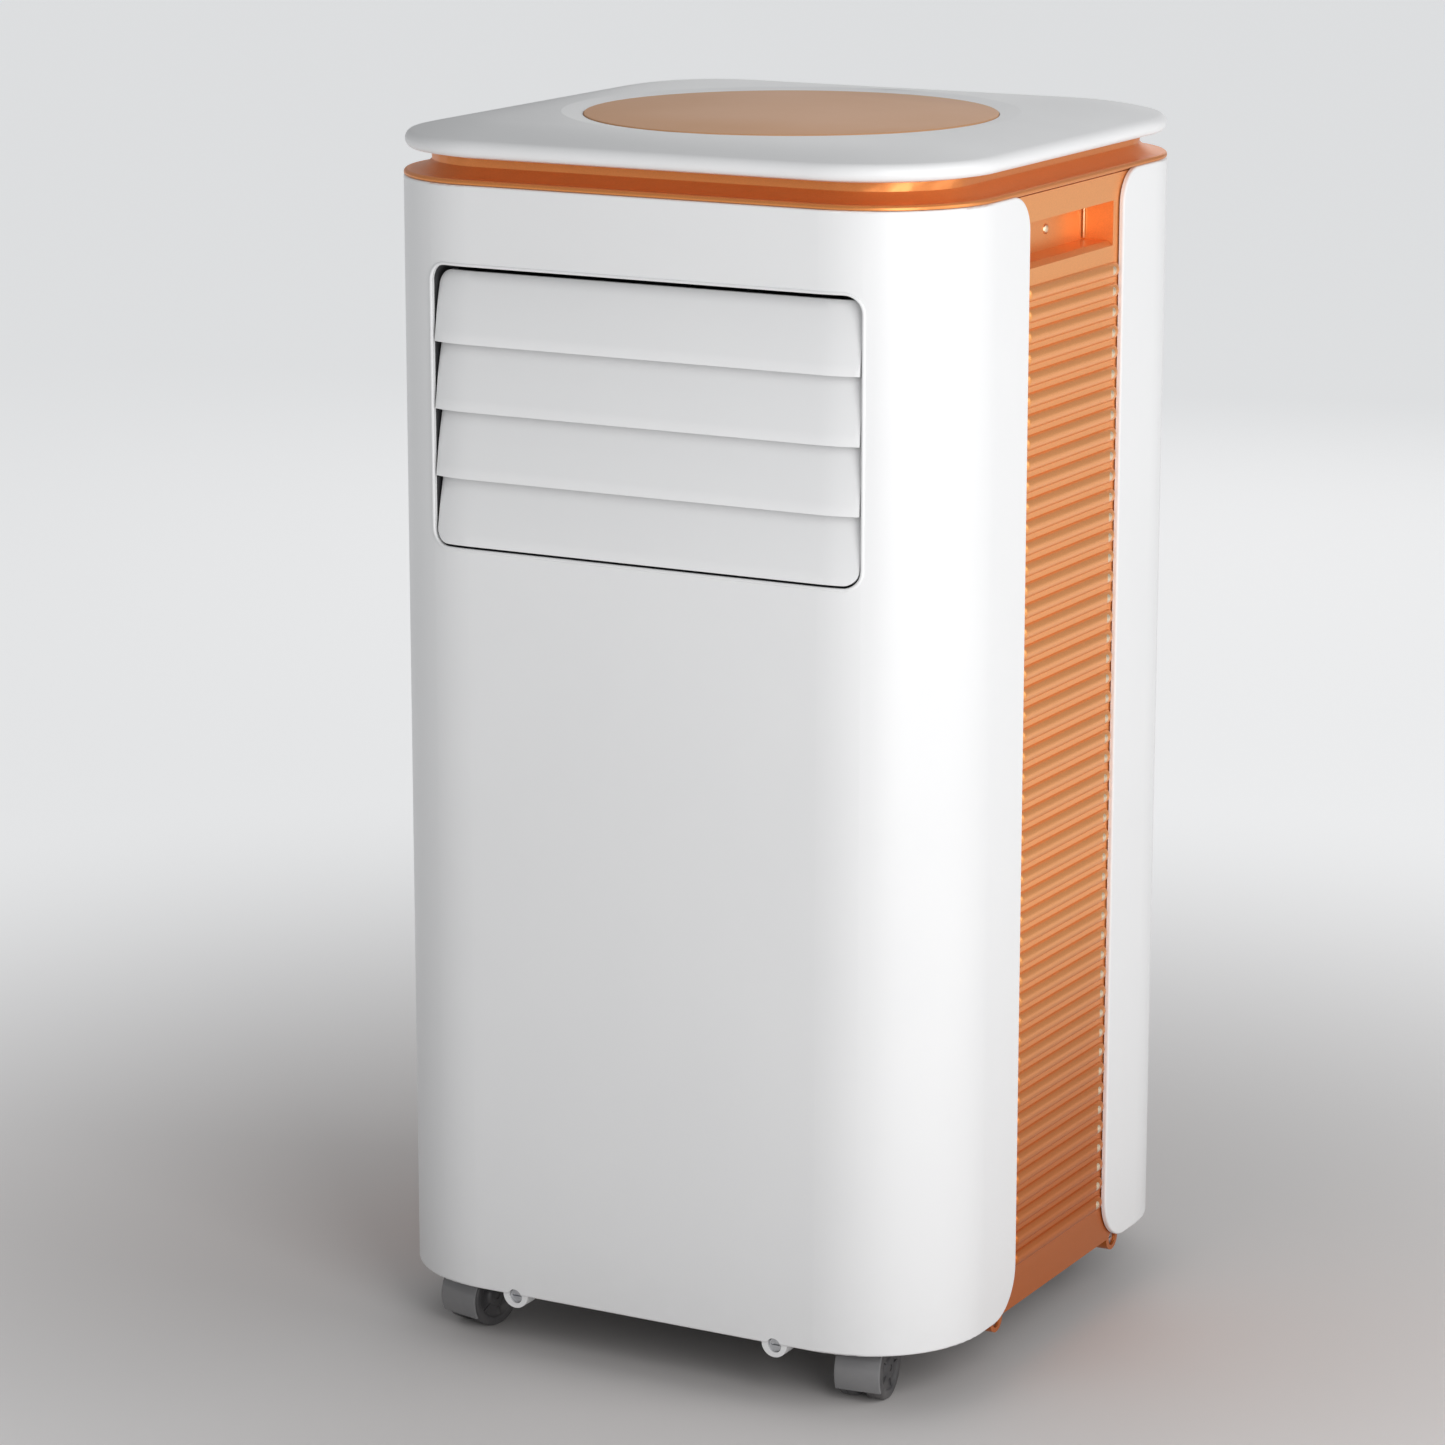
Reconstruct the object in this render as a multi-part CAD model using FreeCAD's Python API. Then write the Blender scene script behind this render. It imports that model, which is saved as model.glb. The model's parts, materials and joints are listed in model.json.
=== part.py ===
"""Portable air conditioner on casters, as a bench would see it taken apart.

Frame: millimetres, +Z up, the front faces -Y, the origin is on the floor under the middle of the cabinet.
Two white shells wrap the front and the back. Between them stand two copper side panels with ribs and a
grip. A copper collar carries the floating top plate with its round touch panel. Four linked blades close
the air outlet, two filters and the hose outlet are at the back, and four hooded casters carry the base pan.
"""

import FreeCAD, Part
import math
import os
from FreeCAD import Vector

# ---- driving dimensions ------------------------------------------------------------------------------
WIDTH = 358.0  # cabinet, side to side
DEPTH = 354.0  # cabinet, front to back
HEIGHT = 700.0  # floor to the top plate
PLAN_R = 70.0  # corner radius of the cabinet in plan
SHELL_T = 2.8  # wall of the white shells
FIT_GAP = 0.3  # free gap between parts that are only assembled
SHELL_BOTTOM = 34.0
SHELL_TOP = 670.0
STRIP_HALF = 62.0  # half the width of the copper strip between the shells
FREE_R_TOP = 20.0  # corner of a shell's free edge, at the top
FREE_R_BOTTOM = 28.0  # and at the bottom
EDGE_ROUND = 1.2  # softened outer edge of the shells

PANEL_INSET = 3.5  # side panel's face behind the shells' face
PANEL_T = 2.5
PANEL_HALF = 92.0  # half the side panel's own width, tucked under the shells
PANEL_TOP = SHELL_TOP - 1.6  # just under the collar's lip
RIB_FIRST = 62.0  # height of the lowest rib
RIB_PITCH = 11.75
RIB_COUNT = 48
RIB_HALF = 57.0  # half a rib's length, to the centres of its round ends
RIB_R = 4.7
RIB_PROUD = 3.0
GRIP_HALF = 55.0
GRIP_LOW = 630.5
GRIP_HIGH = 653.3
GRIP_DEPTH = 18.5
GRIP_LIP = 2.5  # slope on the grip's lower edge
GRIP_HOOK = 4.0  # the grip's roof is this much higher than its mouth

PLATE_WIDTH = 358.0
PLATE_DEPTH = 356.0
PLATE_R = 74.0
PLATE_CROWN = 49.0  # inset where the gently domed border meets the flat middle
PLATE_SHOULDER = HEIGHT - 5.2  # where the dome turns into the rim
PLATE_WIDEST = HEIGHT - 10.2  # height of the plate's widest line
PLATE_UNDER = HEIGHT - 14.6  # underside of the rim
PLATE_SEAT = HEIGHT - 16.6  # underside where the collar carries it
PLATE_HOLLOW = HEIGHT - 3.5  # roof of the hollow under the plate
PLATE_WEB = HEIGHT - 6.8  # underside of the web that carries the touch panel
PLATE_WEB_R = 122.0
POST_R = 3.0  # posts under the web that hold the display board
POST_RING = 45.0
POST_END = HEIGHT - 11.4
BOARD_R = 62.0  # display board under the web
BOARD_T = 1.6
LIP_RISE = 3.0  # collar's lip, above the shells' rim
NECK_INSET = 15.4  # collar's neck under the plate, outer and inner wall
NECK_INNER = 22.0
COLLAR_HOOK = 9.5  # how far the collar's inner skirt hangs behind the shells
DISC_R = 117.5
DISC_TOP = HEIGHT - 0.8
DISC_T = 3.0
DISC_EDGE = 0.6  # softened edge of the touch panel
DISC_GAP = 0.5  # ring gap around it
DISH_R = 130.0  # outer edge of the shallow dish around the touch panel

TAB_R = 8.0  # screw tab hanging under a shell or side panel
TAB_Z = 34.0
TAB_ROOT = 46.0  # height where a tab joins its wall
TAB_THICK = 4.0  # wall left under the screw's head
SCREW_HOLE_R = 2.2
SCREW_SEAT_R = 4.4
SCREW_HEAD_R = 4.0
SCREW_R = 1.55
TAB_FRONT_X = 84.0
TAB_SIDE_Y = 80.0
TAB_REACH = 13.0  # how far behind the cabinet's face a tab reaches

PAN_BOTTOM = 36.0
PAN_T = 3.0
PAN_WALL_TOP = 72.0
CASTER_X = 124.0
CASTER_Y = 126.0
CASTER_TRAIL = 16.0
CASTER_TURN = {"fl": -13.0, "fr": 7.0, "rl": 18.0, "rr": -9.0}  # degrees at rest
WHEEL_R = 18.0
TREAD_ROUND = 1.4
HOOD_HALF = 13.5
HOOD_R = WHEEL_R + 2.2
POCKET_R = 39.5
POCKET_ROOF = 46.0
STEM_R = 3.5

OUTLET_HALF = 133.4  # air outlet in the front shell
OUTLET_LOW = 467.3
OUTLET_HIGH = 625.7
OUTLET_R = 10.0
DUCT_WALL = 3.6
DUCT_DEPTH = 55.8  # louvre frame, front face of the cabinet to its back end
BLADE_PITCH = 37.7
BLADE_LOW = 469.0
BLADE_OVERLAP = 3.0
BLADE_TOP = 621.8
BLADE_T = 2.4
BLADE_HALF = 131.8
BLADE_SWEEP = 26.0  # how far a blade follows the cabinet's corner, in degrees
BLADE_FRONT = 0.6  # inset of a blade's lower edge
BLADE_BACK = 8.6  # inset of its upper edge
PIVOT_INSET = 14.0
PIVOT_UP = 19.0  # pivot above a blade's lower edge
PIVOT_R = 2.0
CRANK_BACK = 12.0  # crank pin behind its pivot
CRANK_UP = 16.0
CRANK_R = 1.5
LINK_X = -128.6
LINK_T = 2.5
MOTOR_BACK = 22.0  # louvre motor's shaft behind the blades' pivots
RUNNING = 0.05  # radial clearance of a pin that turns

WINDOW_HALF = 104.0  # rear windows for the filters
FILTER_BORDER = 8.0
FILTER_PITCH = 8.0
MESH_EDGE = 4.0  # mesh inside its window
UPPER_WINDOW = (440.0, 616.0)
LOWER_WINDOW = (72.0, 206.0)
EXHAUST_Z = 300.0
EXHAUST_R = 71.0
DUCT_R = 67.0  # round duct up to the hose outlet, inside
SLEEVE_START = 150.0  # where the hose outlet's sleeve begins
FLANGE_R = 80.0  # hose outlet's flange
PLUG_R = 9.0  # drain plug's cap
GLAND_R = 9.4  # cord bush's flange
GLAND_X = -96.0
GLAND_Z = 222.0
CORD_HOLE_R = 4.2
DRAIN_Z = 55.0
DECK_Z = 385.0
SUCTION_AT = (-140.0, 50.0)  # where the suction pipe rises through the deck
SCROLL_T = 2.5  # wall of the fan housings
EVAP_Z = 546.0  # shaft of the evaporator fan
COND_X = 62.0  # shaft of the condenser fan
COND_Z = 160.0
COMPRESSOR_AT = (-80.0, -50.0)
COMPRESSOR_R = 60.0
FOOT_RING = 66.0  # radius of the compressor's feet
ACCUMULATOR_AT = (5.0, -95.0)
SPLASH_X = 30.0  # splash wheel that flings condensate at the condenser
SPLASH_Z = 62.0

HALF_W = WIDTH / 2
HALF_D = DEPTH / 2
X = Vector(1, 0, 0)
Y = Vector(0, 1, 0)
Z = Vector(0, 0, 1)


# ---- small helpers -----------------------------------------------------------------------------------
def box(x0, x1, y0, y1, z0, z1):
    """Box between two corners."""
    return Part.makeBox(x1 - x0, y1 - y0, z1 - z0, Vector(x0, y0, z0))


def rod_x(radius, x0, x1, y, z):
    return Part.makeCylinder(radius, x1 - x0, Vector(x0, y, z), X)


def rod_y(radius, y0, y1, x, z):
    return Part.makeCylinder(radius, y1 - y0, Vector(x, y0, z), Y)


def rod_z(radius, z0, z1, x, y):
    return Part.makeCylinder(radius, z1 - z0, Vector(x, y, z0), Z)


def join(shapes):
    """One solid from touching or overlapping solids."""
    shapes = list(shapes)
    return shapes[0].multiFuse(shapes[1:]).removeSplitter()


def prism(inset, z0, z1, width=WIDTH, depth=DEPTH, radius=PLAN_R):
    """The cabinet's rounded plan, drawn in by inset, between two heights."""
    w = width - 2 * inset
    d = depth - 2 * inset
    block = box(-w / 2, w / 2, -d / 2, d / 2, z0, z1)
    uprights = [e for e in block.Edges if abs(e.Length - (z1 - z0)) < 1e-6 and upright(e)]
    return block.makeFillet(radius - inset, uprights)


def upright(edge):
    """True for a straight edge along Z."""
    a, b = edge.Vertexes[0].Point, edge.Vertexes[-1].Point
    return abs(a.x - b.x) < 1e-6 and abs(a.y - b.y) < 1e-6


def rounded_tunnel(x_half, z0, z1, radius, y0, y1):
    """A block along Y whose four long edges are rounded."""
    block = box(-x_half, x_half, y0, y1, z0, z1)
    return block.makeFillet(radius, [e for e in block.Edges if abs(e.Length - (y1 - y0)) < 1e-6])


def section(points, place):
    """Closed face from (inset, z) points. A pair of points is an arc through the first to the second."""
    edges = []
    here = points[0]
    for step in points[1:] + [points[0]]:
        if isinstance(step[0], tuple):
            edges.append(Part.Arc(place(*here), place(*step[0]), place(*step[1])).toShape())
            here = step[1]
        else:
            edges.append(Part.LineSegment(place(*here), place(*step)).toShape())
            here = step
    return Part.Face(Part.Wire(edges))


def ring(points, width=WIDTH, depth=DEPTH, radius=PLAN_R):
    """Sweeps an (inset, z) section round the cabinet's plan: four straight runs and four turned corners."""
    half_w, half_d = width / 2, depth / 2
    run_x, run_y = half_w - radius, half_d - radius
    right = section(points, lambda i, z: Vector(half_w - i, -run_y, z))
    back = section(points, lambda i, z: Vector(run_x, half_d - i, z))
    pieces = [right.extrude(Vector(0, 2 * run_y, 0)), back.extrude(Vector(-2 * run_x, 0, 0))]
    pieces.append(back.revolve(Vector(run_x, run_y, 0), Z, -90))
    left_back = section(points, lambda i, z: Vector(-run_x, half_d - i, z))
    pieces.append(left_back.revolve(Vector(-run_x, run_y, 0), Z, 90))
    for piece in pieces[:4]:
        pieces.append(piece.rotated(Vector(0, 0, 0), Z, 180))
    return join(pieces)


def both_sides(shape):
    """A shape and its mirror image across the middle plane."""
    return [shape, shape.mirror(Vector(0, 0, 0), X)]


def bent_tube(points, bend, radius):
    """Tube along straight runs joined by tangent arcs of one bend radius."""
    edges = []
    here = points[0]
    for before, corner, after in zip(points, points[1:], points[2:]):
        into = (corner - before).normalize()
        out = (after - corner).normalize()
        cut = bend * math.tan(into.getAngle(out) / 2)
        start = corner - into * cut
        end = corner + out * cut
        middle = (start + end) * 0.5
        centre = corner + (middle - corner).normalize() * math.hypot(bend, cut)
        top = centre + (corner - centre).normalize() * bend
        edges.append(Part.LineSegment(here, start).toShape())
        edges.append(Part.Arc(start, top, end).toShape())
        here = end
    edges.append(Part.LineSegment(here, points[-1]).toShape())
    path = Part.Wire(edges)
    disc = Part.Wire(Part.Circle(points[0], (points[1] - points[0]).normalize(), radius).toShape())
    return path.makePipeShell([disc], True, False)


# ---- shells, side panels, collar and top --------------------------------------------------------------
def tab(side, at):
    """Screw tab under a part's lower edge, with a counterbored hole. side is 'front' or 'right'."""
    start = EDGE_ROUND if side == "front" else PANEL_INSET
    head_seat = start + TAB_THICK
    if side == "front":
        inset = lambda i: -HALF_D + i
        body = rod_y(TAB_R, inset(start), inset(TAB_REACH), at, TAB_Z)
        body = body.fuse(box(at - TAB_R, at + TAB_R, inset(start), inset(TAB_REACH), TAB_Z, TAB_ROOT))
        hole = rod_y(SCREW_HOLE_R, inset(0), inset(TAB_REACH + 1), at, TAB_Z - 1)
        seat = rod_y(SCREW_SEAT_R, inset(0), inset(head_seat), at, TAB_Z - 1)
    else:
        inset = lambda i: HALF_W - i
        body = rod_x(TAB_R, inset(TAB_REACH), inset(start), at, TAB_Z)
        body = body.fuse(box(inset(TAB_REACH), inset(start), at - TAB_R, at + TAB_R, TAB_Z, TAB_ROOT))
        hole = rod_x(SCREW_HOLE_R, inset(TAB_REACH + 1), inset(0), at, TAB_Z - 1)
        seat = rod_x(SCREW_SEAT_R, inset(head_seat), inset(0), at, TAB_Z - 1)
    return body, hole.fuse(seat)


def outer_rim(edges):
    """The edges that run round a shell's outer face: its top, its bottom and its two free ends."""
    found = []
    for e in edges:
        step = (e.LastParameter - e.FirstParameter) / 4
        points = [e.valueAt(e.FirstParameter + k * step) for k in range(5)]
        if all(abs(outer_inset(p)) < 1e-4 for p in points) and not (upright(e) and abs(points[0].y) > 70):
            found.append(e)
    return found


def outer_inset(p):
    """How far a point lies inside the cabinet's outer face, in plan."""
    dx = abs(p.x) - (HALF_W - PLAN_R)
    dy = abs(p.y) - (HALF_D - PLAN_R)
    if dx > 0 and dy > 0:
        return PLAN_R - math.hypot(dx, dy)
    return PLAN_R - max(dx, dy)


def free_edge(block, z):
    """The long edge of a block beside the copper strip, at one height."""
    place = Vector(0, -STRIP_HALF, z)
    return [e for e in block.Edges if (e.CenterOfMass - place).Length < 1e-6]


def half_shell():
    """The front shell with no openings: the cabinet's wall ahead of the copper strip."""
    wall = prism(0, SHELL_BOTTOM, SHELL_TOP).cut(prism(SHELL_T, SHELL_BOTTOM - 1, SHELL_TOP + 1))
    keep = box(-WIDTH, WIDTH, -DEPTH, -STRIP_HALF, SHELL_BOTTOM, SHELL_TOP)
    keep = keep.makeFillet(FREE_R_BOTTOM, free_edge(keep, SHELL_BOTTOM))
    keep = keep.makeFillet(FREE_R_TOP, free_edge(keep, SHELL_TOP))
    shell = wall.common(keep)
    return shell.makeFillet(EDGE_ROUND, outer_rim(shell.Edges))


def with_tabs(shell):
    """Adds the two screw tabs under the front of a shell."""
    for x in (-TAB_FRONT_X, TAB_FRONT_X):
        body, hole = tab("front", x)
        shell = shell.fuse(body).cut(hole)
    return shell


def front_shell():
    opening = rounded_tunnel(OUTLET_HALF, OUTLET_LOW, OUTLET_HIGH, OUTLET_R, -HALF_D - 1, -HALF_D + 30)
    return with_tabs(half_shell()).cut(opening)


def rear_shell():
    """The front shell's blank turned to the back, with filter windows and holes for hose, drain and cord."""
    shell = with_tabs(half_shell()).rotated(Vector(0, 0, 0), Z, 180)
    for low, high in (UPPER_WINDOW, LOWER_WINDOW):
        sleeve = rounded_tunnel(WINDOW_HALF + 3, low - 3, high + 3, 9, HALF_D - 13, HALF_D - SHELL_T + 0.5)
        shell = shell.fuse(sleeve)
        shell = shell.cut(rounded_tunnel(WINDOW_HALF, low, high, 6, HALF_D - 20, HALF_D + 5))
    holes = [(FLANGE_R + 0.5, 0, EXHAUST_Z), (GLAND_R + 0.4, GLAND_X, GLAND_Z), (PLUG_R + 1, 0, DRAIN_Z)]
    for radius, x, z in holes:
        shell = shell.cut(rod_y(radius, HALF_D - 10, HALF_D + 5, x, z))
    return shell


def side_panel():
    """Right side panel: a flat plate with ribs, a finger grip and two screw tabs."""
    face = HALF_W - PANEL_INSET
    back = face - PANEL_T
    panel = box(back, face, -PANEL_HALF, PANEL_HALF, SHELL_BOTTOM, PANEL_TOP)
    rib = rod_y(RIB_R, -RIB_HALF, RIB_HALF, face - RIB_R + RIB_PROUD, 0)
    for y in (-RIB_HALF, RIB_HALF):
        rib = rib.fuse(Part.makeSphere(RIB_R, Vector(face - RIB_R + RIB_PROUD, y, 0)))
    rib = rib.common(box(back + 1, face + 5, -PANEL_HALF, PANEL_HALF, -10, 10)).removeSplitter()
    ribs = [rib.translated(Vector(0, 0, RIB_FIRST + k * RIB_PITCH)) for k in range(RIB_COUNT)]
    panel = panel.multiFuse(ribs)
    deep = face - GRIP_DEPTH
    wide, roof = GRIP_HALF + PANEL_T, GRIP_HIGH + GRIP_HOOK
    tub = box(deep - PANEL_T, back, -wide, wide, GRIP_LOW - PANEL_T, roof + PANEL_T)
    hollow = box(deep, back, -GRIP_HALF, GRIP_HALF, GRIP_LOW, roof)
    mouth = box(back - 1, face + 5, -GRIP_HALF, GRIP_HALF, GRIP_LOW, GRIP_HIGH)
    slope = [(face, -GRIP_LIP), (face + 1, 1), (back - 1, 1), (back - 1, 0)]
    corners = [Vector(x, -GRIP_HALF, GRIP_LOW + rise) for x, rise in slope]
    lip = Part.Face(Part.makePolygon(corners + corners[:1])).extrude(Vector(0, 2 * GRIP_HALF, 0))
    panel = panel.fuse(tub).cut(hollow).cut(mouth).cut(lip)
    for y in (-TAB_SIDE_Y, TAB_SIDE_Y):
        body, hole = tab("right", y)
        panel = panel.fuse(body).cut(hole)
    return panel.removeSplitter()


def top_collar():
    """Ring under the floating top: a skirt behind the shells, a thin lip on their rim, a cove and a neck."""
    lip_low = SHELL_TOP + FIT_GAP
    lip_top = SHELL_TOP + LIP_RISE
    skirt = SHELL_T + FIT_GAP
    skirt_low = PANEL_TOP + 2 * FIT_GAP
    hook = PANEL_INSET + PANEL_T + 2 * FIT_GAP
    under = lip_top - 0.9
    outline = [
        (skirt, skirt_low), (skirt, lip_low), (0.2, lip_low), ((0.5, lip_top - 0.7), (2.4, lip_top)),
        ((10.0, lip_top + 1.4), (NECK_INSET + 0.6, lip_top + 5.4)), (NECK_INSET, PLATE_SEAT),
        (NECK_INNER, PLATE_SEAT), (NECK_INNER, under), (hook + PANEL_T, under),
        (hook + PANEL_T, SHELL_TOP - COLLAR_HOOK), (hook, SHELL_TOP - COLLAR_HOOK), (hook, skirt_low),
    ]
    return ring(outline)


def top_plate():
    """Floating top: a gentle dome to a soft rim, a dish and seat for the touch panel, hollow underneath."""
    plan = (PLATE_WIDTH, PLATE_DEPTH, PLATE_R)
    rim = [
        (PLATE_CROWN, HEIGHT), ((26.0, HEIGHT - 1.3), (4.4, PLATE_SHOULDER)),
        ((0.0, PLATE_WIDEST), (2.4, PLATE_UNDER)), (13.0, PLATE_SEAT), (PLATE_CROWN, PLATE_SEAT),
    ]
    plate = ring(rim, *plan).fuse(prism(PLATE_CROWN, PLATE_SEAT, HEIGHT, *plan)).removeSplitter()
    hole = DISC_R + DISC_GAP
    dish_depth = HEIGHT - DISC_TOP + 0.7
    dish = Part.makeCone(hole, DISH_R, dish_depth, Vector(0, 0, HEIGHT - dish_depth), Z)
    seat = rod_z(hole, DISC_TOP - DISC_T - 0.2, HEIGHT + 1, 0, 0)
    under = prism(NECK_INNER + 4, PLATE_SEAT - 1, PLATE_HOLLOW, *plan)
    under = under.cut(rod_z(PLATE_WEB_R, PLATE_WEB, HEIGHT, 0, 0))
    plate = plate.cut(dish).cut(seat).cut(under)
    angles = [math.radians(a) for a in (45, 135, 225, 315)]
    places = [(POST_RING * math.cos(a), POST_RING * math.sin(a)) for a in angles]
    return plate.multiFuse([rod_z(POST_R, POST_END, PLATE_WEB + 0.2, x, y) for x, y in places])


def control_disc():
    disc = rod_z(DISC_R, DISC_TOP - DISC_T, DISC_TOP, 0, 0)
    return disc.makeFillet(DISC_EDGE, [e for e in disc.Edges if abs(e.CenterOfMass.z - DISC_TOP) < 1e-6])


def display_board():
    return rod_z(BOARD_R, POST_END - BOARD_T, POST_END, 0, 0)


# ---- base pan and its fasteners -----------------------------------------------------------------------
def tab_places():
    """Every screw's place: (axis, position along the face, sign of the face)."""
    places = [("y", s * TAB_FRONT_X, t) for s in (-1, 1) for t in (-1, 1)]
    return places + [("x", s * TAB_SIDE_Y, t) for s in (-1, 1) for t in (-1, 1)]


def toward(axis, at, sign, radius, i0, i1, z):
    """Rod along a face's inward direction, from inset i0 to i1."""
    half = HALF_D if axis == "y" else HALF_W
    low, high = sorted((sign * (half - i0), sign * (half - i1)))
    return rod_y(radius, low, high, at, z) if axis == "y" else rod_x(radius, low, high, at, z)


def block_toward(axis, at, sign, half_width, i0, i1, z0, z1):
    """Box along a face's inward direction, from inset i0 to i1."""
    half = HALF_D if axis == "y" else HALF_W
    low, high = sorted((sign * (half - i0), sign * (half - i1)))
    if axis == "y":
        return box(at - half_width, at + half_width, low, high, z0, z1)
    return box(low, high, at - half_width, at + half_width, z0, z1)


def base_pan():
    """Tray that everything stands in, with screw bosses and four caster pockets."""
    floor = prism(3.4, PAN_BOTTOM, PAN_BOTTOM + PAN_T)
    for s in (-1, 1):
        x0, x1 = sorted((s * (HALF_W - PANEL_INSET - PANEL_T - 0.5), s * WIDTH))
        floor = floor.cut(box(x0, x1, -PANEL_HALF - 1, PANEL_HALF + 1, PAN_BOTTOM - 1, PAN_BOTTOM + 9))
    for axis, at, sign in tab_places():
        notch = block_toward(axis, at, sign, TAB_R + 1, -2, TAB_REACH + 1, PAN_BOTTOM - 1, PAN_BOTTOM + 9)
        floor = floor.cut(notch)
    wall = prism(18, PAN_BOTTOM + 1, PAN_WALL_TOP).cut(prism(20.5, PAN_BOTTOM, PAN_WALL_TOP + 1))
    parts = [floor, wall]
    for axis, at, sign in tab_places():
        parts.append(toward(axis, at, sign, 6.5, TAB_REACH + 0.4, 26, TAB_Z - 1))
        parts.append(block_toward(axis, at, sign, 6.5, TAB_REACH + 1.2, 26, TAB_Z - 1, PAN_BOTTOM + 1))
    places = [(sx * CASTER_X, sy * CASTER_Y) for sx in (-1, 1) for sy in (-1, 1)]
    for x, y in places:
        parts.append(rod_z(POCKET_R + 2.4, PAN_BOTTOM, POCKET_ROOF + 3, x, y))
        parts.append(rod_z(7.5, POCKET_ROOF, 68.0, x, y))
    pan = join(parts)
    for x, y in places:
        pan = pan.cut(rod_z(POCKET_R, 0, POCKET_ROOF, x, y)).cut(rod_z(STEM_R + RUNNING, 40, 70, x, y))
    for axis, at, sign in tab_places():
        pan = pan.cut(toward(axis, at, sign, 1.6, TAB_REACH, 25, TAB_Z - 1))
    for x, y in grommet_places():
        pan = pan.fuse(rod_z(8, PAN_BOTTOM + 1, 42, x, y)).cut(rod_z(2.6, PAN_BOTTOM - 1, 50, x, y))
    return pan.cut(rod_y(9.0, HALF_D - 30, HALF_D - 10, 0, DRAIN_Z))


def case_screws():
    screws = []
    for axis, at, sign in tab_places():
        start = 2.6 if axis == "y" else PANEL_INSET + 1.4
        head = toward(axis, at, sign, SCREW_HEAD_R, start, start + 2.4, TAB_Z - 1)
        shank = toward(axis, at, sign, SCREW_R, start + 2, TAB_REACH + 11, TAB_Z - 1)
        slot = block_toward(axis, at, sign, 2.6, start - 1, start + 1.2, TAB_Z - 1.4, TAB_Z - 0.6)
        screws.append(head.fuse(shank).cut(slot))
    return Part.makeCompound(screws)


# ---- casters ------------------------------------------------------------------------------------------
def caster_parts():
    """Hood, stem and wheel set of one caster, its swivel axis on the origin and its wheels towards -Y."""
    hub = -CASTER_TRAIL
    half = HOOD_HALF
    hood = rod_x(HOOD_R, -half, half, hub, WHEEL_R).cut(box(-20, 20, -60, 60, -30, 8.0))
    hood = hood.cut(box(-20, 20, hub + 3, 60, 0, 22.0))
    hood = hood.fuse(rod_z(8.5, 20, 44.4, 0, 0))
    for s in (-1, 1):
        x0, x1 = sorted((s * 2.2, s * (half + 2)))
        hood = hood.cut(rod_x(WHEEL_R + 0.7, x0, x1, hub, WHEEL_R))
    low_gap = rod_x(WHEEL_R + 0.7, -3, 3, hub, WHEEL_R).common(box(-3, 3, -60, 60, -5, 12.0))
    hood = hood.cut(low_gap).cut(rod_x(2.05, -3, 3, hub, WHEEL_R)).cut(rod_z(STEM_R + 0.02, 34, 50, 0, 0))
    stem = rod_z(STEM_R, 34.2, 66, 0, 0).fuse(rod_z(6.0, 44.6, 45.7, 0, 0))
    axle = rod_x(2.0, -12.0, 12.0, hub, WHEEL_R)
    wheels = [axle]
    for s in (-1, 1):
        x0, x1 = sorted((s * 2.7, s * 13.2))
        wheel = rod_x(WHEEL_R, x0, x1, hub, WHEEL_R)
        rims = [e for e in wheel.Edges if abs(e.Length - 2 * math.pi * WHEEL_R) < 1e-3]
        wheel = wheel.makeFillet(TREAD_ROUND, rims)
        dish0, dish1 = sorted((s * 12.2, s * 14.0))
        wheel = wheel.cut(rod_x(12.5, dish0, dish1, hub, WHEEL_R).cut(rod_x(5.0, dish0, dish1, hub, WHEEL_R)))
        wheels.append(wheel)
    return hood.removeSplitter(), stem.removeSplitter(), join(wheels)


def caster(corner):
    """The three parts of a caster, turned and set under its corner."""
    x = CASTER_X if corner[1] == "r" else -CASTER_X
    y = -CASTER_Y if corner[0] == "f" else CASTER_Y
    turned = [p.rotated(Vector(0, 0, 0), Z, CASTER_TURN[corner]) for p in caster_parts()]
    return [p.translated(Vector(x, y, 0)) for p in turned]


# ---- air outlet ---------------------------------------------------------------------------------------
def blade_pivot(k):
    """Height of blade k's pivot, counted from the lowest blade."""
    return BLADE_LOW + k * BLADE_PITCH + PIVOT_UP


def motor_pivot():
    """Depth and height of the louvre motor's shaft."""
    return -HALF_D + PIVOT_INSET + MOTOR_BACK, blade_pivot(1) + BLADE_PITCH / 2


def louvre_frame():
    """Duct that lines the air outlet and carries the blades' pivots."""
    y1 = -HALF_D + DUCT_DEPTH
    low, high = OUTLET_LOW - DUCT_WALL, OUTLET_HIGH + DUCT_WALL
    outer = rounded_tunnel(OUTLET_HALF + DUCT_WALL, low, high, OUTLET_R + DUCT_WALL, -HALF_D, y1)
    frame = outer.cut(rounded_tunnel(OUTLET_HALF, OUTLET_LOW, OUTLET_HIGH, OUTLET_R, -HALF_D - 1, y1 + 1))
    frame = frame.common(prism(SHELL_T + FIT_GAP, OUTLET_LOW - 20, OUTLET_HIGH + 20))
    for k in range(4):
        frame = frame.cut(rod_x(PIVOT_R + RUNNING, -160, 160, -HALF_D + PIVOT_INSET, blade_pivot(k)))
    y, z = motor_pivot()
    return frame.cut(rod_x(PIVOT_R + RUNNING, -160, -100, y, z))


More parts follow.
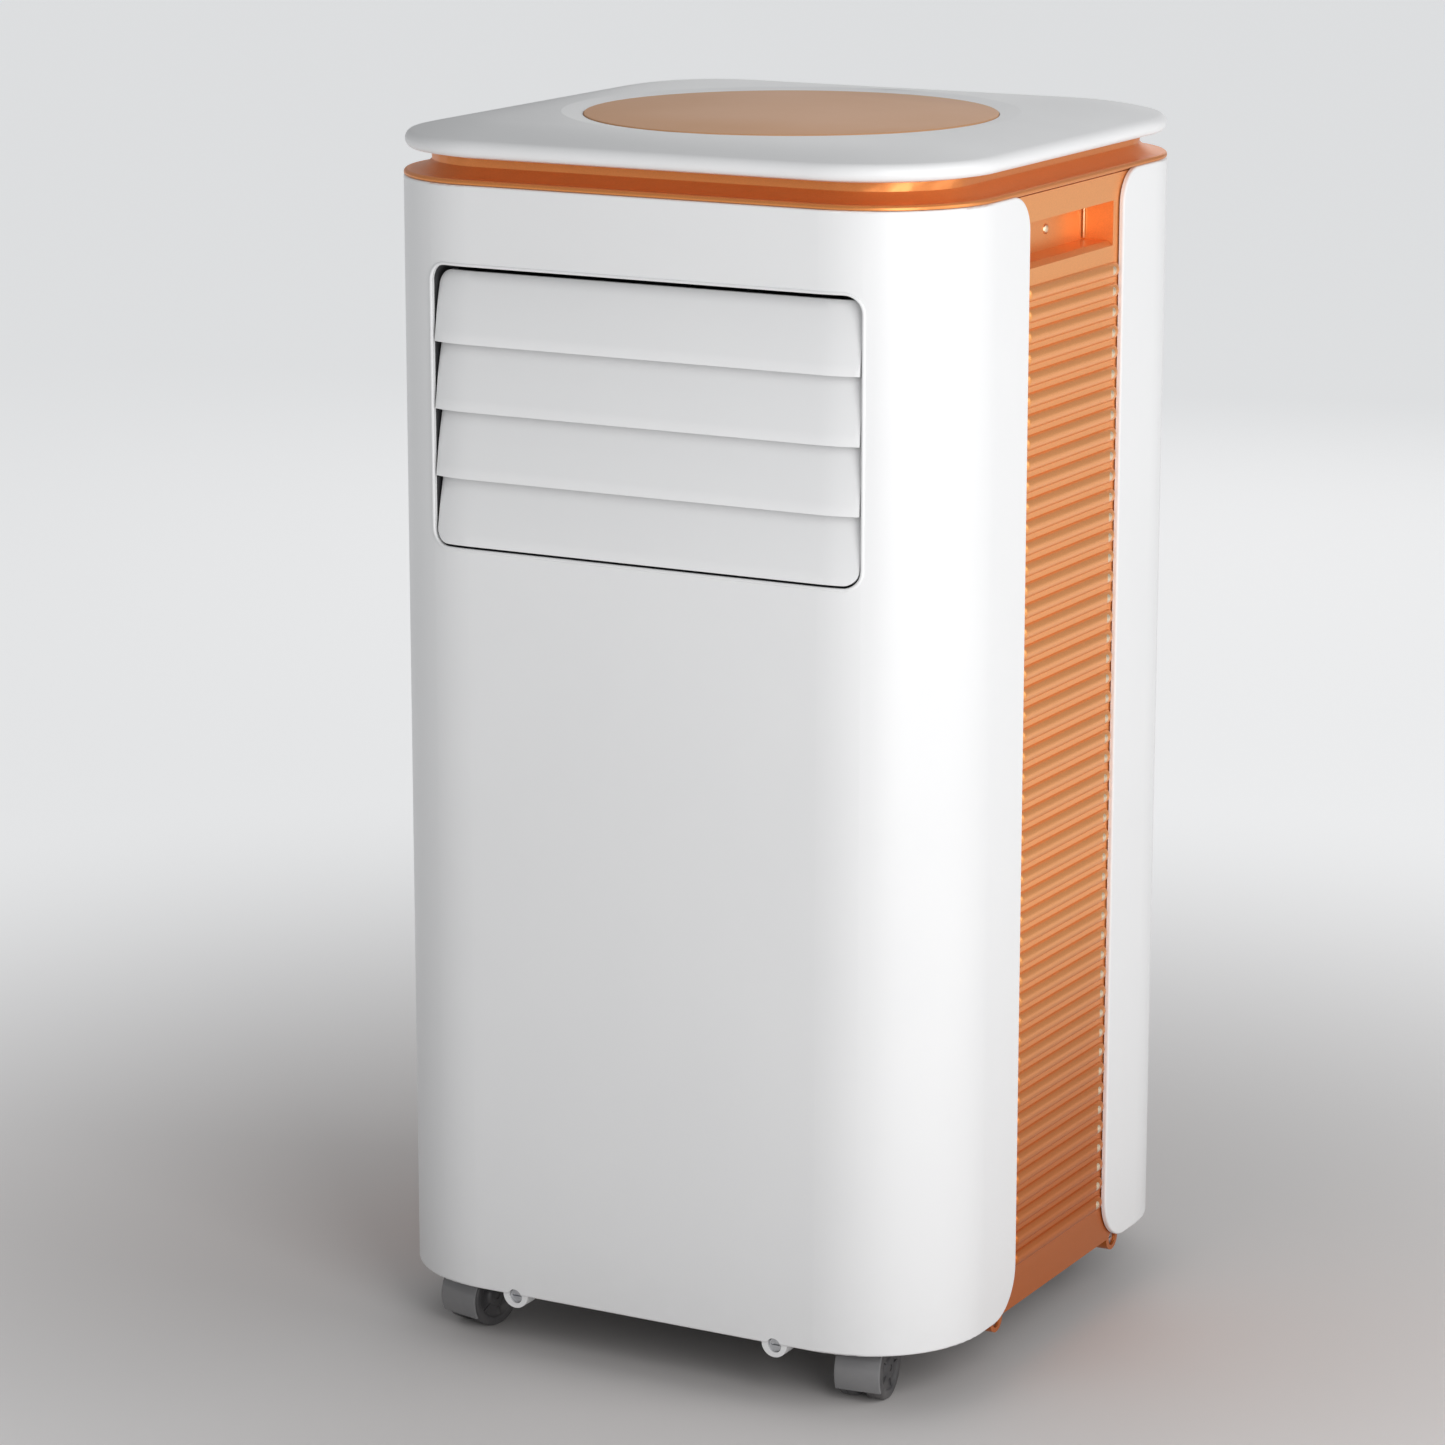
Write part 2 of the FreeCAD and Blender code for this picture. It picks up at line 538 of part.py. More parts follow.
def blade(k):
    """Louvre blade k: a slanted slat round the cabinet's corners, two ears, their pivots and a crank pin."""
    low = BLADE_LOW + k * BLADE_PITCH
    high = min(low + BLADE_PITCH + BLADE_OVERLAP, BLADE_TOP)
    middle = (low + high) / 2
    lean = (BLADE_FRONT + BLADE_BACK) / 2 - 0.9
    outline = [
        (BLADE_FRONT, low), ((lean, middle), (BLADE_BACK, high)),
        (BLADE_BACK + BLADE_T, high), ((lean + BLADE_T, middle), (BLADE_FRONT + BLADE_T, low)),
    ]
    run = HALF_W - PLAN_R
    face = section(outline, lambda i, z: Vector(-run, -HALF_D + i, z))
    slat = face.extrude(Vector(2 * run, 0, 0))
    end = section(outline, lambda i, z: Vector(run, -HALF_D + i, z))
    end = end.revolve(Vector(run, -HALF_D + PLAN_R, 0), Z, BLADE_SWEEP)
    slat = join([slat] + both_sides(end))
    corner = OUTLET_R - (OUTLET_HALF - BLADE_HALF)
    slat = slat.common(rounded_tunnel(BLADE_HALF, BLADE_LOW, BLADE_TOP, corner, -HALF_D - 5, -HALF_D + 60))
    pivot_y, pivot_z = -HALF_D + PIVOT_INSET, blade_pivot(k)
    parts = [slat]
    for s in (-1, 1):
        reach = [(-6.5, -9.0), (-2.5, 9.0), (3.0, 4.0), (3.0, -3.0), (0.0, -4.0)]
        if s < 0:
            reach = [(-6.5, -9.0), (-2.5, 9.0), (11.0, 18.8), (14.6, 14.6), (3.4, -2.2), (0.0, -4.0)]
        corners = [Vector(s * BLADE_HALF, pivot_y + a, pivot_z + b) for a, b in reach]
        ear = Part.Face(Part.makePolygon(corners + corners[:1])).extrude(Vector(-s * 2.2, 0, 0))
        x0, x1 = sorted((s * (BLADE_HALF - 2.2), s * BLADE_HALF))
        parts.append(ear)
        parts.append(rod_x(4.0, x0, x1, pivot_y, pivot_z))
        x0, x1 = sorted((s * (BLADE_HALF - 1), s * (OUTLET_HALF + DUCT_WALL)))
        parts.append(rod_x(PIVOT_R, x0, x1, pivot_y, pivot_z))
    crank_y, crank_z = pivot_y + CRANK_BACK, pivot_z + CRANK_UP
    parts.append(rod_x(3.2, -BLADE_HALF, -BLADE_HALF + 2.2, crank_y, crank_z))
    parts.append(rod_x(CRANK_R, -BLADE_HALF + 1, LINK_X + LINK_T + 0.6, crank_y, crank_z))
    return join(parts)


def louvre_link():
    """Tie bar that makes the blades turn together, with a tab for the motor's crank."""
    y = -HALF_D + PIVOT_INSET + CRANK_BACK
    low, high = blade_pivot(0) + CRANK_UP, blade_pivot(3) + CRANK_UP
    half = 2.3
    bar = box(LINK_X, LINK_X + LINK_T, y - half, y + half, low, high)
    ends = [rod_x(3.0, LINK_X, LINK_X + LINK_T, y, blade_pivot(k) + CRANK_UP) for k in range(4)]
    motor_y, motor_z = motor_pivot()
    arm_y, arm_z = motor_y + CRANK_BACK, motor_z + CRANK_UP
    ends.append(box(LINK_X, LINK_X + LINK_T, y, arm_y, arm_z - 3, arm_z + 3))
    ends.append(rod_x(3.0, LINK_X, LINK_X + LINK_T, arm_y, arm_z))
    link = join([bar] + ends)
    for k in range(4):
        link = link.cut(rod_x(CRANK_R + RUNNING, -140, -120, y, blade_pivot(k) + CRANK_UP))
    return link.cut(rod_x(CRANK_R + RUNNING, -140, -120, arm_y, arm_z))


def louvre_crank():
    """Motor's crank arm with its shaft stub and its pin in the tie bar."""
    y, z = motor_pivot()
    x0, x1 = -BLADE_HALF, -BLADE_HALF + 2.2
    reach = [(-3.2, 2.4), (CRANK_BACK - 2.4, CRANK_UP + 1.8), (CRANK_BACK + 2.4, CRANK_UP - 1.8), (3.2, -2.4)]
    arm = [Vector(x0, y + a, z + b) for a, b in reach]
    plate = Part.Face(Part.makePolygon(arm + arm[:1])).extrude(Vector(x1 - x0, 0, 0))
    parts = [plate, rod_x(4.0, x0, x1, y, z), rod_x(3.0, x0, x1, y + CRANK_BACK, z + CRANK_UP)]
    parts.append(rod_x(PIVOT_R, -146, x0 + 1, y, z))
    parts.append(rod_x(CRANK_R, x1 - 1, LINK_X + LINK_T + 0.6, y + CRANK_BACK, z + CRANK_UP))
    return join(parts)


def louvre_motor():
    """Small stepper motor on the outside of the duct."""
    y, z = motor_pivot()
    wall = -OUTLET_HALF - DUCT_WALL
    body = rod_x(12.0, wall - 17, wall, y, z)
    lugs = box(wall - 2, wall, y - 4, y + 4, z - 18, z + 18)
    return body.fuse(lugs).cut(rod_x(PIVOT_R + RUNNING, -147, -130, y, z)).removeSplitter()


# ---- back: filters, hose outlet, drain and cord entry ---------------------------------------------------
def filter_frame(window):
    """Slatted frame that fills a rear window and holds its mesh behind it."""
    low, high = window
    half = WINDOW_HALF - FIT_GAP
    y0, y1 = HALF_D - 7.0, HALF_D - 0.2
    frame = rounded_tunnel(half, low + FIT_GAP, high - FIT_GAP, 5.7, y0, y1)
    border = FILTER_BORDER + FIT_GAP
    frame = frame.cut(rounded_tunnel(half - FILTER_BORDER, low + border, high - border, 3, y0 - 1, y1 + 1))
    count = int((high - low - 20) / FILTER_PITCH)
    pitch = (high - low - 2 * border) / (count + 1)
    heights = [low + border + pitch * (k + 1) for k in range(count)]
    front, back = y0 + 1.5, y1 - 0.8
    slats = [box(-half + 7, half - 7, front, back, z - 1.7, z + 1.7) for z in heights]
    posts = [box(x - 1.5, x + 1.5, front, back, low + 7, high - 7) for x in (-48, 0, 48)]
    pull = box(-18, 18, y0 + 1, y1 - 0.4, high - 17, high - 7)
    frame = frame.multiFuse(slats + posts + [pull])
    return frame.cut(box(-15, 15, y1 - 3.4, y1 + 1, high - 15, high - 9)).removeSplitter()


def filter_mesh(window):
    low, high = window
    half = WINDOW_HALF - MESH_EDGE
    return box(-half, half, HALF_D - 9.2, HALF_D - 7.2, low + MESH_EDGE, high - MESH_EDGE)


def exhaust_collar():
    """Round hose outlet: a sleeve with a flange in the rear shell's hole and one behind its wall."""
    collar = rod_y(EXHAUST_R + 3.5, SLEEVE_START, HALF_D - 0.2, 0, EXHAUST_Z)
    collar = collar.fuse(rod_y(FLANGE_R, HALF_D - SHELL_T + 0.2, HALF_D - 0.2, 0, EXHAUST_Z))
    collar = collar.fuse(rod_y(86, HALF_D - SHELL_T - 2.8, HALF_D - SHELL_T - 0.4, 0, EXHAUST_Z))
    collar = collar.fuse(rod_y(78, HALF_D - SHELL_T - 1, HALF_D - SHELL_T + 1, 0, EXHAUST_Z))
    return collar.cut(rod_y(EXHAUST_R, 140, 190, 0, EXHAUST_Z)).removeSplitter()


def exhaust_guard():
    """Finger guard in the duct, just behind the hose outlet."""
    y0, y1 = SLEEVE_START - 2.6, SLEEVE_START - 0.4
    guard = rod_y(DUCT_R - 0.3, y0, y1, 0, EXHAUST_Z)
    keep = rod_y(DUCT_R - 3, y0 - 1, y1 + 1, 0, EXHAUST_Z)
    reach = DUCT_R - 1
    bars = [box(x - 1.2, x + 1.2, y0, y1, EXHAUST_Z - reach, EXHAUST_Z + reach) for x in range(-60, 61, 12)]
    cross = box(-reach, reach, y0, y1, EXHAUST_Z - 1.6, EXHAUST_Z + 1.6)
    inner = bars[0].multiFuse(bars[1:] + [cross]).common(keep)
    return guard.cut(keep).fuse(inner).removeSplitter()


def drain_port():
    tube = rod_y(8.6, HALF_D - 21, HALF_D - 5.2, 0, DRAIN_Z)
    return tube.cut(rod_y(6.0, HALF_D - 30, HALF_D, 0, DRAIN_Z))


def drain_plug():
    stopper = rod_y(5.92, HALF_D - 17, HALF_D - 4, 0, DRAIN_Z)
    cap = rod_y(PLUG_R, HALF_D - 5.0, HALF_D - 0.8, 0, DRAIN_Z)
    grip = box(-1.4, 1.4, HALF_D - 1, HALF_D + 0.6, DRAIN_Z - 7, DRAIN_Z + 7)
    return join([stopper, cap, grip])


def cord_gland():
    """Bush that the mains lead passes through."""
    gland = rod_y(GLAND_R, HALF_D - SHELL_T + 0.1, HALF_D - 0.1, GLAND_X, GLAND_Z)
    gland = gland.fuse(rod_y(7.4, HALF_D - 19, HALF_D - 2, GLAND_X, GLAND_Z))
    return gland.cut(rod_y(CORD_HOLE_R, HALF_D - 16.1, HALF_D + 1, GLAND_X, GLAND_Z)).removeSplitter()


# ---- inside: deck, coils, fans, compressor, pipes and electrics ------------------------------------------
def mid_deck():
    """Shelf under the cold coil, with a low wall round it and a hole for the suction pipe."""
    x, y = SUCTION_AT
    wall_top = DECK_Z + 16
    wall = prism(30, DECK_Z, wall_top).cut(prism(33, DECK_Z, wall_top + 4))
    deck = prism(7.5, DECK_Z, DECK_Z + 4).fuse(wall)
    deck = deck.cut(rod_z(9, DECK_Z - 1, wall_top + 4, x, y))
    return deck.cut(box(x - 10, x + 10, y - 10, y + 10, DECK_Z + 4, wall_top + 1)).removeSplitter()


def coil(half, y0, y1, z0, z1, rows):
    """Finned block with return bends on its right end."""
    block = box(-half, half, y0, y1, z0, z1)
    middle = (y0 + y1) / 2
    pitch = (z1 - z0) / (rows + 1)
    bends = []
    for k in range(0, rows, 2):
        z = z0 + pitch * (k + 1)
        loop = Part.makeTorus(pitch / 2, 3.5, Vector(half, middle, z + pitch / 2), Y, 0, 360)
        bends.append(loop.common(box(half - 1, half + 40, y0, y1, z0, z1)))
    return block.multiFuse(bends).removeSplitter()


def fan_wheel(x, z, y0, y1, radius, motor_y):
    """Centrifugal wheel with its hub and shaft. The shaft reaches back to motor_y."""
    count = 28
    parts = [rod_y(radius, y0, y0 + 2, x, z), rod_y(12, y0, y0 + 22, x, z)]
    parts.append(rod_y(radius, y1 - 3, y1, x, z).cut(rod_y(radius - 10, y1 - 4, y1 + 1, x, z)))
    parts.append(rod_y(4.0, motor_y, y0 + 20, x, z))
    for k in range(count):
        vane = box(radius - 9.5, radius - 0.5, y0 + 1, y1 - 1, -0.7, 0.7)
        vane = vane.rotated(Vector(radius - 5, 0, 0), Y, 35)
        parts.append(vane.rotated(Vector(0, 0, 0), Y, 360.0 * k / count).translated(Vector(x, 0, z)))
    return join(parts)


def evaporator_scroll():
    """Plenum behind the louvres and the fan housing behind it."""
    y0, y1, y2 = -HALF_D + DUCT_DEPTH + 0.2, -34.0, 56.0
    wide = OUTLET_HALF + DUCT_WALL
    plenum = box(-wide, wide, y0, y1, OUTLET_LOW - DUCT_WALL, OUTLET_HIGH + DUCT_WALL)
    plenum = plenum.cut(box(-OUTLET_HALF, OUTLET_HALF, y0 - 1, y1 - 3, OUTLET_LOW, OUTLET_HIGH))
    drum = rod_y(95, y1, y2, 0, EVAP_Z).cut(rod_y(92.5, y1 - 1, y2 - SCROLL_T, 0, EVAP_Z))
    drum = drum.cut(rod_y(70, y1, y2 + 1, 0, EVAP_Z))
    mouth = rod_y(72, y1 - 4, y1 + 1, 0, EVAP_Z).cut(rod_y(34, y1 - 4, y1 + 1, 0, EVAP_Z))
    for turn in (0, 120, 240):
        arm = box(-3, 3, y1 - 4, y1 + 1, 0, 80).rotated(Vector(0, 0, 0), Y, turn)
        mouth = mouth.cut(arm.translated(Vector(0, 0, EVAP_Z)))
    return plenum.fuse(drum).cut(mouth).cut(rod_y(5, y1 - 4, y1 + 1, 0, EVAP_Z)).removeSplitter()


def fan_motor(x, z, y0, y1, radius):
    """Motor can with a bore for the wheel's shaft."""
    can = rod_y(radius, y0, y1, x, z)
    can = can.makeFillet(4, [e for e in can.Edges if abs(e.CenterOfMass.y - y0) < 1e-6])
    return can.cut(rod_y(4.0 + RUNNING, y0 + 12, y1 + 1, x, z))


def condenser_scroll():
    """Fan housing, plenum and the round duct to the hose outlet."""
    y0, y1 = 14.0, 84.0
    duct = rod_y(DUCT_R + 3, y1 - 1, SLEEVE_START - 0.2, 0, EXHAUST_Z)
    outer = join([rod_y(84, y0, y1, COND_X, COND_Z), box(-78, 78, y0, y1, 225, 375), duct])
    in0, in1, half = y0 + SCROLL_T, y1 - SCROLL_T, 78 - SCROLL_T
    duct_bore = rod_y(DUCT_R, y1 - 10, SLEEVE_START + 1, 0, EXHAUST_Z)
    inner = [rod_y(84 - SCROLL_T, in0, in1, COND_X, COND_Z), duct_bore]
    inner.append(box(-half, half, in0, in1, 225 + SCROLL_T, 375 - SCROLL_T))
    inner = join(inner).fuse(rod_y(5, y0 - 1, y0 + 5, COND_X, COND_Z))
    inlet = rod_y(58, y1 - 5, y1 + 1, COND_X, COND_Z).common(box(-50, 200, 0, 100, 0, 224))
    return outer.cut(inner).cut(inlet).removeSplitter()


def grommet_places():
    """The compressor's three feet in plan."""
    cx, cy = COMPRESSOR_AT
    angles = [math.radians(a) for a in (60, 180, 300)]
    return [(cx + FOOT_RING * math.cos(a), cy + FOOT_RING * math.sin(a)) for a in angles]


def compressor():
    """Rotary compressor can on a three-legged foot, with a discharge stub on top."""
    cx, cy = COMPRESSOR_AT
    can = rod_z(COMPRESSOR_R, 64, 286, cx, cy)
    can = can.makeFillet(16, [e for e in can.Edges if e.Length > 300 and len(e.Vertexes) == 1])
    foot = rod_z(40, 60, 66, cx, cy)
    for x, y in grommet_places():
        foot = foot.fuse(rod_z(11, 60, 63, x, y))
        turn = math.degrees(math.atan2(y - cy, x - cx))
        leg = box(0, FOOT_RING, -10, 10, 60, 63).rotated(Vector(0, 0, 0), Z, turn)
        foot = foot.fuse(leg.translated(Vector(cx, cy, 0)))
    for x, y in grommet_places():
        foot = foot.cut(rod_z(4.6, 50, 70, x, y))
    return can.fuse(foot).fuse(rod_z(5, 280, 292, cx, cy)).removeSplitter()


def compressor_grommets():
    parts = []
    for x, y in grommet_places():
        bush = rod_z(9, 42, 60, x, y).fuse(rod_z(4.5, 59, 64, x, y)).fuse(rod_z(7.5, 63.1, 66, x, y))
        parts.append(bush.cut(rod_z(2.6, 41, 70, x, y)))
    return Part.makeCompound(parts)


def compressor_bolts():
    parts = []
    for x, y in grommet_places():
        parts.append(rod_z(2.5, PAN_BOTTOM - 1.5, 71, x, y).fuse(rod_z(5.0, 66.2, 70, x, y)))
    return Part.makeCompound(parts)


def accumulator():
    x, y = ACCUMULATOR_AT
    can = rod_z(22, 110, 258, x, y)
    can = can.makeFillet(10, [e for e in can.Edges if e.Length > 130 and len(e.Vertexes) == 1])
    return can.fuse(rod_z(4.5, 250, 264, x, y))


def discharge_pipe():
    cx, cy = COMPRESSOR_AT
    stops = [(cx, cy, 292.2), (cx, cy, 352), (-112, cy, 352), (-112, 128, 352), (-112, 128, 206.2)]
    return bent_tube([Vector(*p) for p in stops], 14, 4)


def suction_pipe():
    x0, y0 = ACCUMULATOR_AT
    x1, y1 = SUCTION_AT
    stops = [(x0, y0, 264.2), (x0, y0, 335), (x1, y0, 335), (x1, y1, 335)]
    stops += [(x1, y1, 470), (x1, 92, 470), (-120.2, 92, 470)]
    return bent_tube([Vector(*p) for p in stops], 12, 4.5)


def splash_wheel():
    disc = rod_y(17, 102, 104, SPLASH_X, SPLASH_Z)
    return disc.fuse(rod_y(2.0, 88, 104, SPLASH_X, SPLASH_Z)).removeSplitter()


def splash_motor():
    case = box(SPLASH_X - 14, SPLASH_X + 14, 66, 98, SPLASH_Z - 12, SPLASH_Z + 12)
    return case.cut(rod_y(2.0 + RUNNING, 87, 99, SPLASH_X, SPLASH_Z))


def control_box():
    outer = box(40, 148, -128, -62, 80, 240)
    return outer.cut(box(42, 146, -126, -64, 82, 238))


def control_board():
    return box(46, 142, -122, -120.4, 90, 232)


def run_capacitor():
    return rod_z(19, 90, 160, 115, -92)


# ---- write every node -----------------------------------------------------------------------------------
def nodes():
    panel = side_panel()
    made = {
        "front_shell": front_shell(),
        "rear_shell": rear_shell(),
        "side_panel_right": panel,
        "side_panel_left": panel.mirror(Vector(0, 0, 0), X),
        "top_collar": top_collar(),
        "top_plate": top_plate(),
        "control_disc": control_disc(),
        "display_board": display_board(),
        "base_pan": base_pan(),
        "case_screws": case_screws(),
        "louvre_frame": louvre_frame(),
        "louvre_link": louvre_link(),
        "louvre_crank": louvre_crank(),
        "louvre_motor": louvre_motor(),
        "upper_filter_frame": filter_frame(UPPER_WINDOW),
        "upper_filter_mesh": filter_mesh(UPPER_WINDOW),
        "lower_filter_frame": filter_frame(LOWER_WINDOW),
        "lower_filter_mesh": filter_mesh(LOWER_WINDOW),
        "exhaust_collar": exhaust_collar(),
        "exhaust_guard": exhaust_guard(),
        "drain_port": drain_port(),
        "drain_plug": drain_plug(),
        "cord_gland": cord_gland(),
        "mid_deck": mid_deck(),
        "evaporator_coil": coil(120, 75, 108, 430, 632, 10),
        "evaporator_scroll": evaporator_scroll(),
        "evaporator_wheel": fan_wheel(0, EVAP_Z, -24, 46, 80, -62),
        "evaporator_motor": fan_motor(0, EVAP_Z, -86, -37.2, 33),
        "condenser_coil": coil(112, 115, 145, 60, 206, 8),
        "condenser_scroll": condenser_scroll(),
        "condenser_wheel": fan_wheel(COND_X, COND_Z, 24, 76, 64, -20),
        "condenser_motor": fan_motor(COND_X, COND_Z, -42, 13.8, 36),
        "compressor": compressor(),
        "compressor_grommets": compressor_grommets(),
        "compressor_bolts": compressor_bolts(),
        "accumulator": accumulator(),
        "discharge_pipe": discharge_pipe(),
        "suction_pipe": suction_pipe(),
        "splash_wheel": splash_wheel(),
        "splash_motor": splash_motor(),
        "control_box": control_box(),
        "control_board": control_board(),
        "run_capacitor": run_capacitor(),
    }
    for k in range(4):
        made[f"louvre_blade_{k + 1}"] = blade(k)
    for corner in CASTER_TURN:
        for name, shape in zip(("hood", "stem", "wheels"), caster(corner)):
            made[f"caster_{corner}_{name}"] = shape
    return made


def main():
    os.makedirs("parts", exist_ok=True)
    for name, shape in nodes().items():
        print(name, shape.isValid(), len(shape.Solids), round(shape.Volume / 1000, 1))
        shape.exportStep(f"parts/{name}.step")


main()
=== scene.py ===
# %% [markdown]
# A portable air conditioner that stands on four casters. The shapes that matter to the machine come packed
# from the CAD model, and this notebook gives them their looks: studio, finishes, softened edges, and the
# small parts that deserve better modelling than the CAD gives them.
#
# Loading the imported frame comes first, because every later piece rides on one of its bodies.

# %% Load the frame
import json
import math
import bmesh
import bpy
from mathutils import Matrix, Vector


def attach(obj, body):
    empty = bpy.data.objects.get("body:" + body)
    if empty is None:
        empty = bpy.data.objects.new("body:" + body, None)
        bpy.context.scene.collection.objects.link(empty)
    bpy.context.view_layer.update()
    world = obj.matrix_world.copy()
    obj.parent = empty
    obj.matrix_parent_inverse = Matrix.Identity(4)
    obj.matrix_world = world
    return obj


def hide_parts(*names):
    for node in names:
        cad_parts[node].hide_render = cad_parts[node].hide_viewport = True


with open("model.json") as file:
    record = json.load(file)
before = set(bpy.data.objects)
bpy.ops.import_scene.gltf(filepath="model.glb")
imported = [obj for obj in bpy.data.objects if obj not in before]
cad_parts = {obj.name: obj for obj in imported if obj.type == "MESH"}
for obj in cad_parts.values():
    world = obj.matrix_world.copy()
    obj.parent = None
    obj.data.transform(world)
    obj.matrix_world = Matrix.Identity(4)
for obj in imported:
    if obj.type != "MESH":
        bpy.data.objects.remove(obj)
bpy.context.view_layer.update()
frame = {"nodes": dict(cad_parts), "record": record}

MM = 0.001
nodes = frame["nodes"]
joints = {joint["name"]: joint for joint in frame["record"]["behaviour"]["joints"]}

# %% [markdown]
# The camera stands off the machine's front right corner, well above it and far away, with a long lens. It
# could be aimed with a constraint, but a turn and a tilt are two plain numbers that say where it looks.

# %% Camera
CAMERA_TURN = math.radians(28.47)
CAMERA_TILT = math.radians(13.23)
camera = bpy.data.objects.new("studio_camera", bpy.data.cameras.new("studio_camera"))
bpy.context.scene.collection.objects.link(camera)
camera.location = (1.2867, -2.4542, 0.9957)
camera.rotation_euler = (math.radians(90) - CAMERA_TILT, 0, CAMERA_TURN)
camera.data.lens = 121.8
camera.data.sensor_width = 36
bpy.context.scene.camera = camera
bpy.context.scene.view_settings.view_transform = "Standard"
print("camera at", [round(v, 2) for v in camera.location])

# %% [markdown]
# The floor is one large round sheet, pale and matt. A backdrop would hide the machine from behind, and from
# this height the floor fills the whole view anyway. Away from the machine the sheet glows a little, so that
# it fades to near white in the distance as a studio sweep does.

# %% Floor
def plain_material(name, color, roughness):
    """Material with one Principled shader. Returns the material and its shader."""
    made = bpy.data.materials.new(name)
    made.use_nodes = True
    shader = made.node_tree.nodes["Principled BSDF"]
    shader.inputs["Base Color"].default_value = (*color, 1)
    shader.inputs["Roughness"].default_value = roughness
    return made, shader


FLOOR_R = 30.0
GLOW, GLOW_START, GLOW_FULL = 0.50, 0.15, 1.25


def studio_floor():
    sheet = bmesh.new()
    bmesh.ops.create_circle(sheet, cap_ends=True, cap_tris=False, segments=96, radius=FLOOR_R)
    mesh = bpy.data.meshes.new("studio_floor")
    sheet.to_mesh(mesh)
    sheet.free()
    floor = bpy.data.objects.new("studio_floor", mesh)
    bpy.context.scene.collection.objects.link(floor)
    paper, shader = plain_material("floor_paper", (0.63, 0.605, 0.595), 0.7)
    tree = paper.node_tree
    distance = tree.nodes.new("ShaderNodeVectorMath")
    distance.operation = "LENGTH"
    tree.links.new(tree.nodes.new("ShaderNodeTexCoord").outputs["Object"], distance.inputs[0])
    glow = tree.nodes.new("ShaderNodeMapRange")
    glow.interpolation_type = "SMOOTHSTEP"
    for label, value in (
        ("From Min", GLOW_START), ("From Max", GLOW_FULL), ("To Min", 0.0), ("To Max", GLOW),
    ):
        glow.inputs[label].default_value = value
    tree.links.new(distance.outputs["Value"], glow.inputs["Value"])
    tree.links.new(glow.outputs["Result"], shader.inputs["Emission Strength"])
    shader.inputs["Emission Color"].default_value = (0.95, 0.98, 1.0, 1)
    mesh.materials.append(paper)
    return floor


floor = studio_floor()
print("floor radius, m:", round(floor.dimensions.x / 2, 1))

# %% [markdown]
# White plastic shows its form only by how the light falls off across it. So one softbox stands close to the
# right front corner, which makes the front fade from bright at the right to grey at the left. Two boxes
# farther off and a pale sky fill in the rest.

# %% Lights
def softbox(name, place, aim, width, height, watts):
    """Rectangular area light at place that faces aim."""
    lamp = bpy.data.lights.new(name, "AREA")
    lamp.shape = "RECTANGLE"
    lamp.size, lamp.size_y = width, height
    lamp.energy = watts
    box = bpy.data.objects.new(name, lamp)
    box.location = place
    box.rotation_euler = (Vector(aim) - Vector(place)).to_track_quat("-Z", "Y").to_euler()
    box.visible_camera = False
    bpy.context.scene.collection.objects.link(box)
    return box


boxes = [
    softbox("key_box", (1.15, -1.05, 0.75), (0.1, -0.1, 0.35), 0.7, 1.5, 11.8),
    softbox("side_box", (2.2, 0.3, 1.2), (0.1, 0.0, 0.3), 1.2, 1.6, 12),
    softbox("back_box", (-0.8, 2.6, 1.4), (0, 0, 0.3), 1.6, 1.6, 6),
]
world = bpy.data.worlds.new("pale_sky")
world.use_nodes = True
world.node_tree.nodes["Background"].inputs["Color"].default_value = (0.97, 0.985, 1.0, 1)
world.node_tree.nodes["Background"].inputs["Strength"].default_value = 0.38
bpy.context.scene.world = world
print("softboxes:", len(boxes))

# %% [markdown]
# Two effects are shared by most finishes, so each is a node group with named inputs. The first is moulded
# grain: the faint texture that a steel mould leaves, as bump, with slow changes in roughness. A picture
# of grain could be used, but noise has no seams and works at any distance.

# %% Node group: moulded grain
def node_group(name, inputs, outputs):
    """Empty shader group. inputs are (name, type, value) and outputs are (name, type)."""
    group = bpy.data.node_groups.new(name, "ShaderNodeTree")
    for label, kind, value in inputs:
        group.interface.new_socket(label, in_out="INPUT", socket_type=kind).default_value = value
    for label, kind in outputs:
        group.interface.new_socket(label, in_out="OUTPUT", socket_type=kind)
    return group, group.nodes.new("NodeGroupInput"), group.nodes.new("NodeGroupOutput")


def noise(tree, coords, scale, detail=2.0, roughness=0.5):
    """Noise on the given coordinates. scale is a socket or a number."""
    made = tree.nodes.new("ShaderNodeTexNoise")
    made.inputs["Detail"].default_value = detail
    made.inputs["Roughness"].default_value = roughness
    tree.links.new(coords, made.inputs["Vector"])
    if isinstance(scale, (int, float)):
        made.inputs["Scale"].default_value = scale
    else:
        tree.links.new(scale, made.inputs["Scale"])
    return made.outputs["Fac"]


def spread(tree, value, low, high):
    """Maps a 0 to 1 value onto low to high. low and high are sockets or numbers."""
    made = tree.nodes.new("ShaderNodeMapRange")
    tree.links.new(value, made.inputs["Value"])
    for label, limit in (("To Min", low), ("To Max", high)):
        if isinstance(limit, (int, float)):
            made.inputs[label].default_value = limit
        else:
            tree.links.new(limit, made.inputs[label])
    return made.outputs["Result"]


def bump(tree, height, strength, distance, under=None):
    """Bump from a height. strength is a socket or a number, distance is in metres."""
    made = tree.nodes.new("ShaderNodeBump")
    made.inputs["Distance"].default_value = distance
    tree.links.new(height, made.inputs["Height"])
    if isinstance(strength, (int, float)):
        made.inputs["Strength"].default_value = strength
    else:
        tree.links.new(strength, made.inputs["Strength"])
    if under is not None:
        tree.links.new(under, made.inputs["Normal"])
    return made.outputs["Normal"]


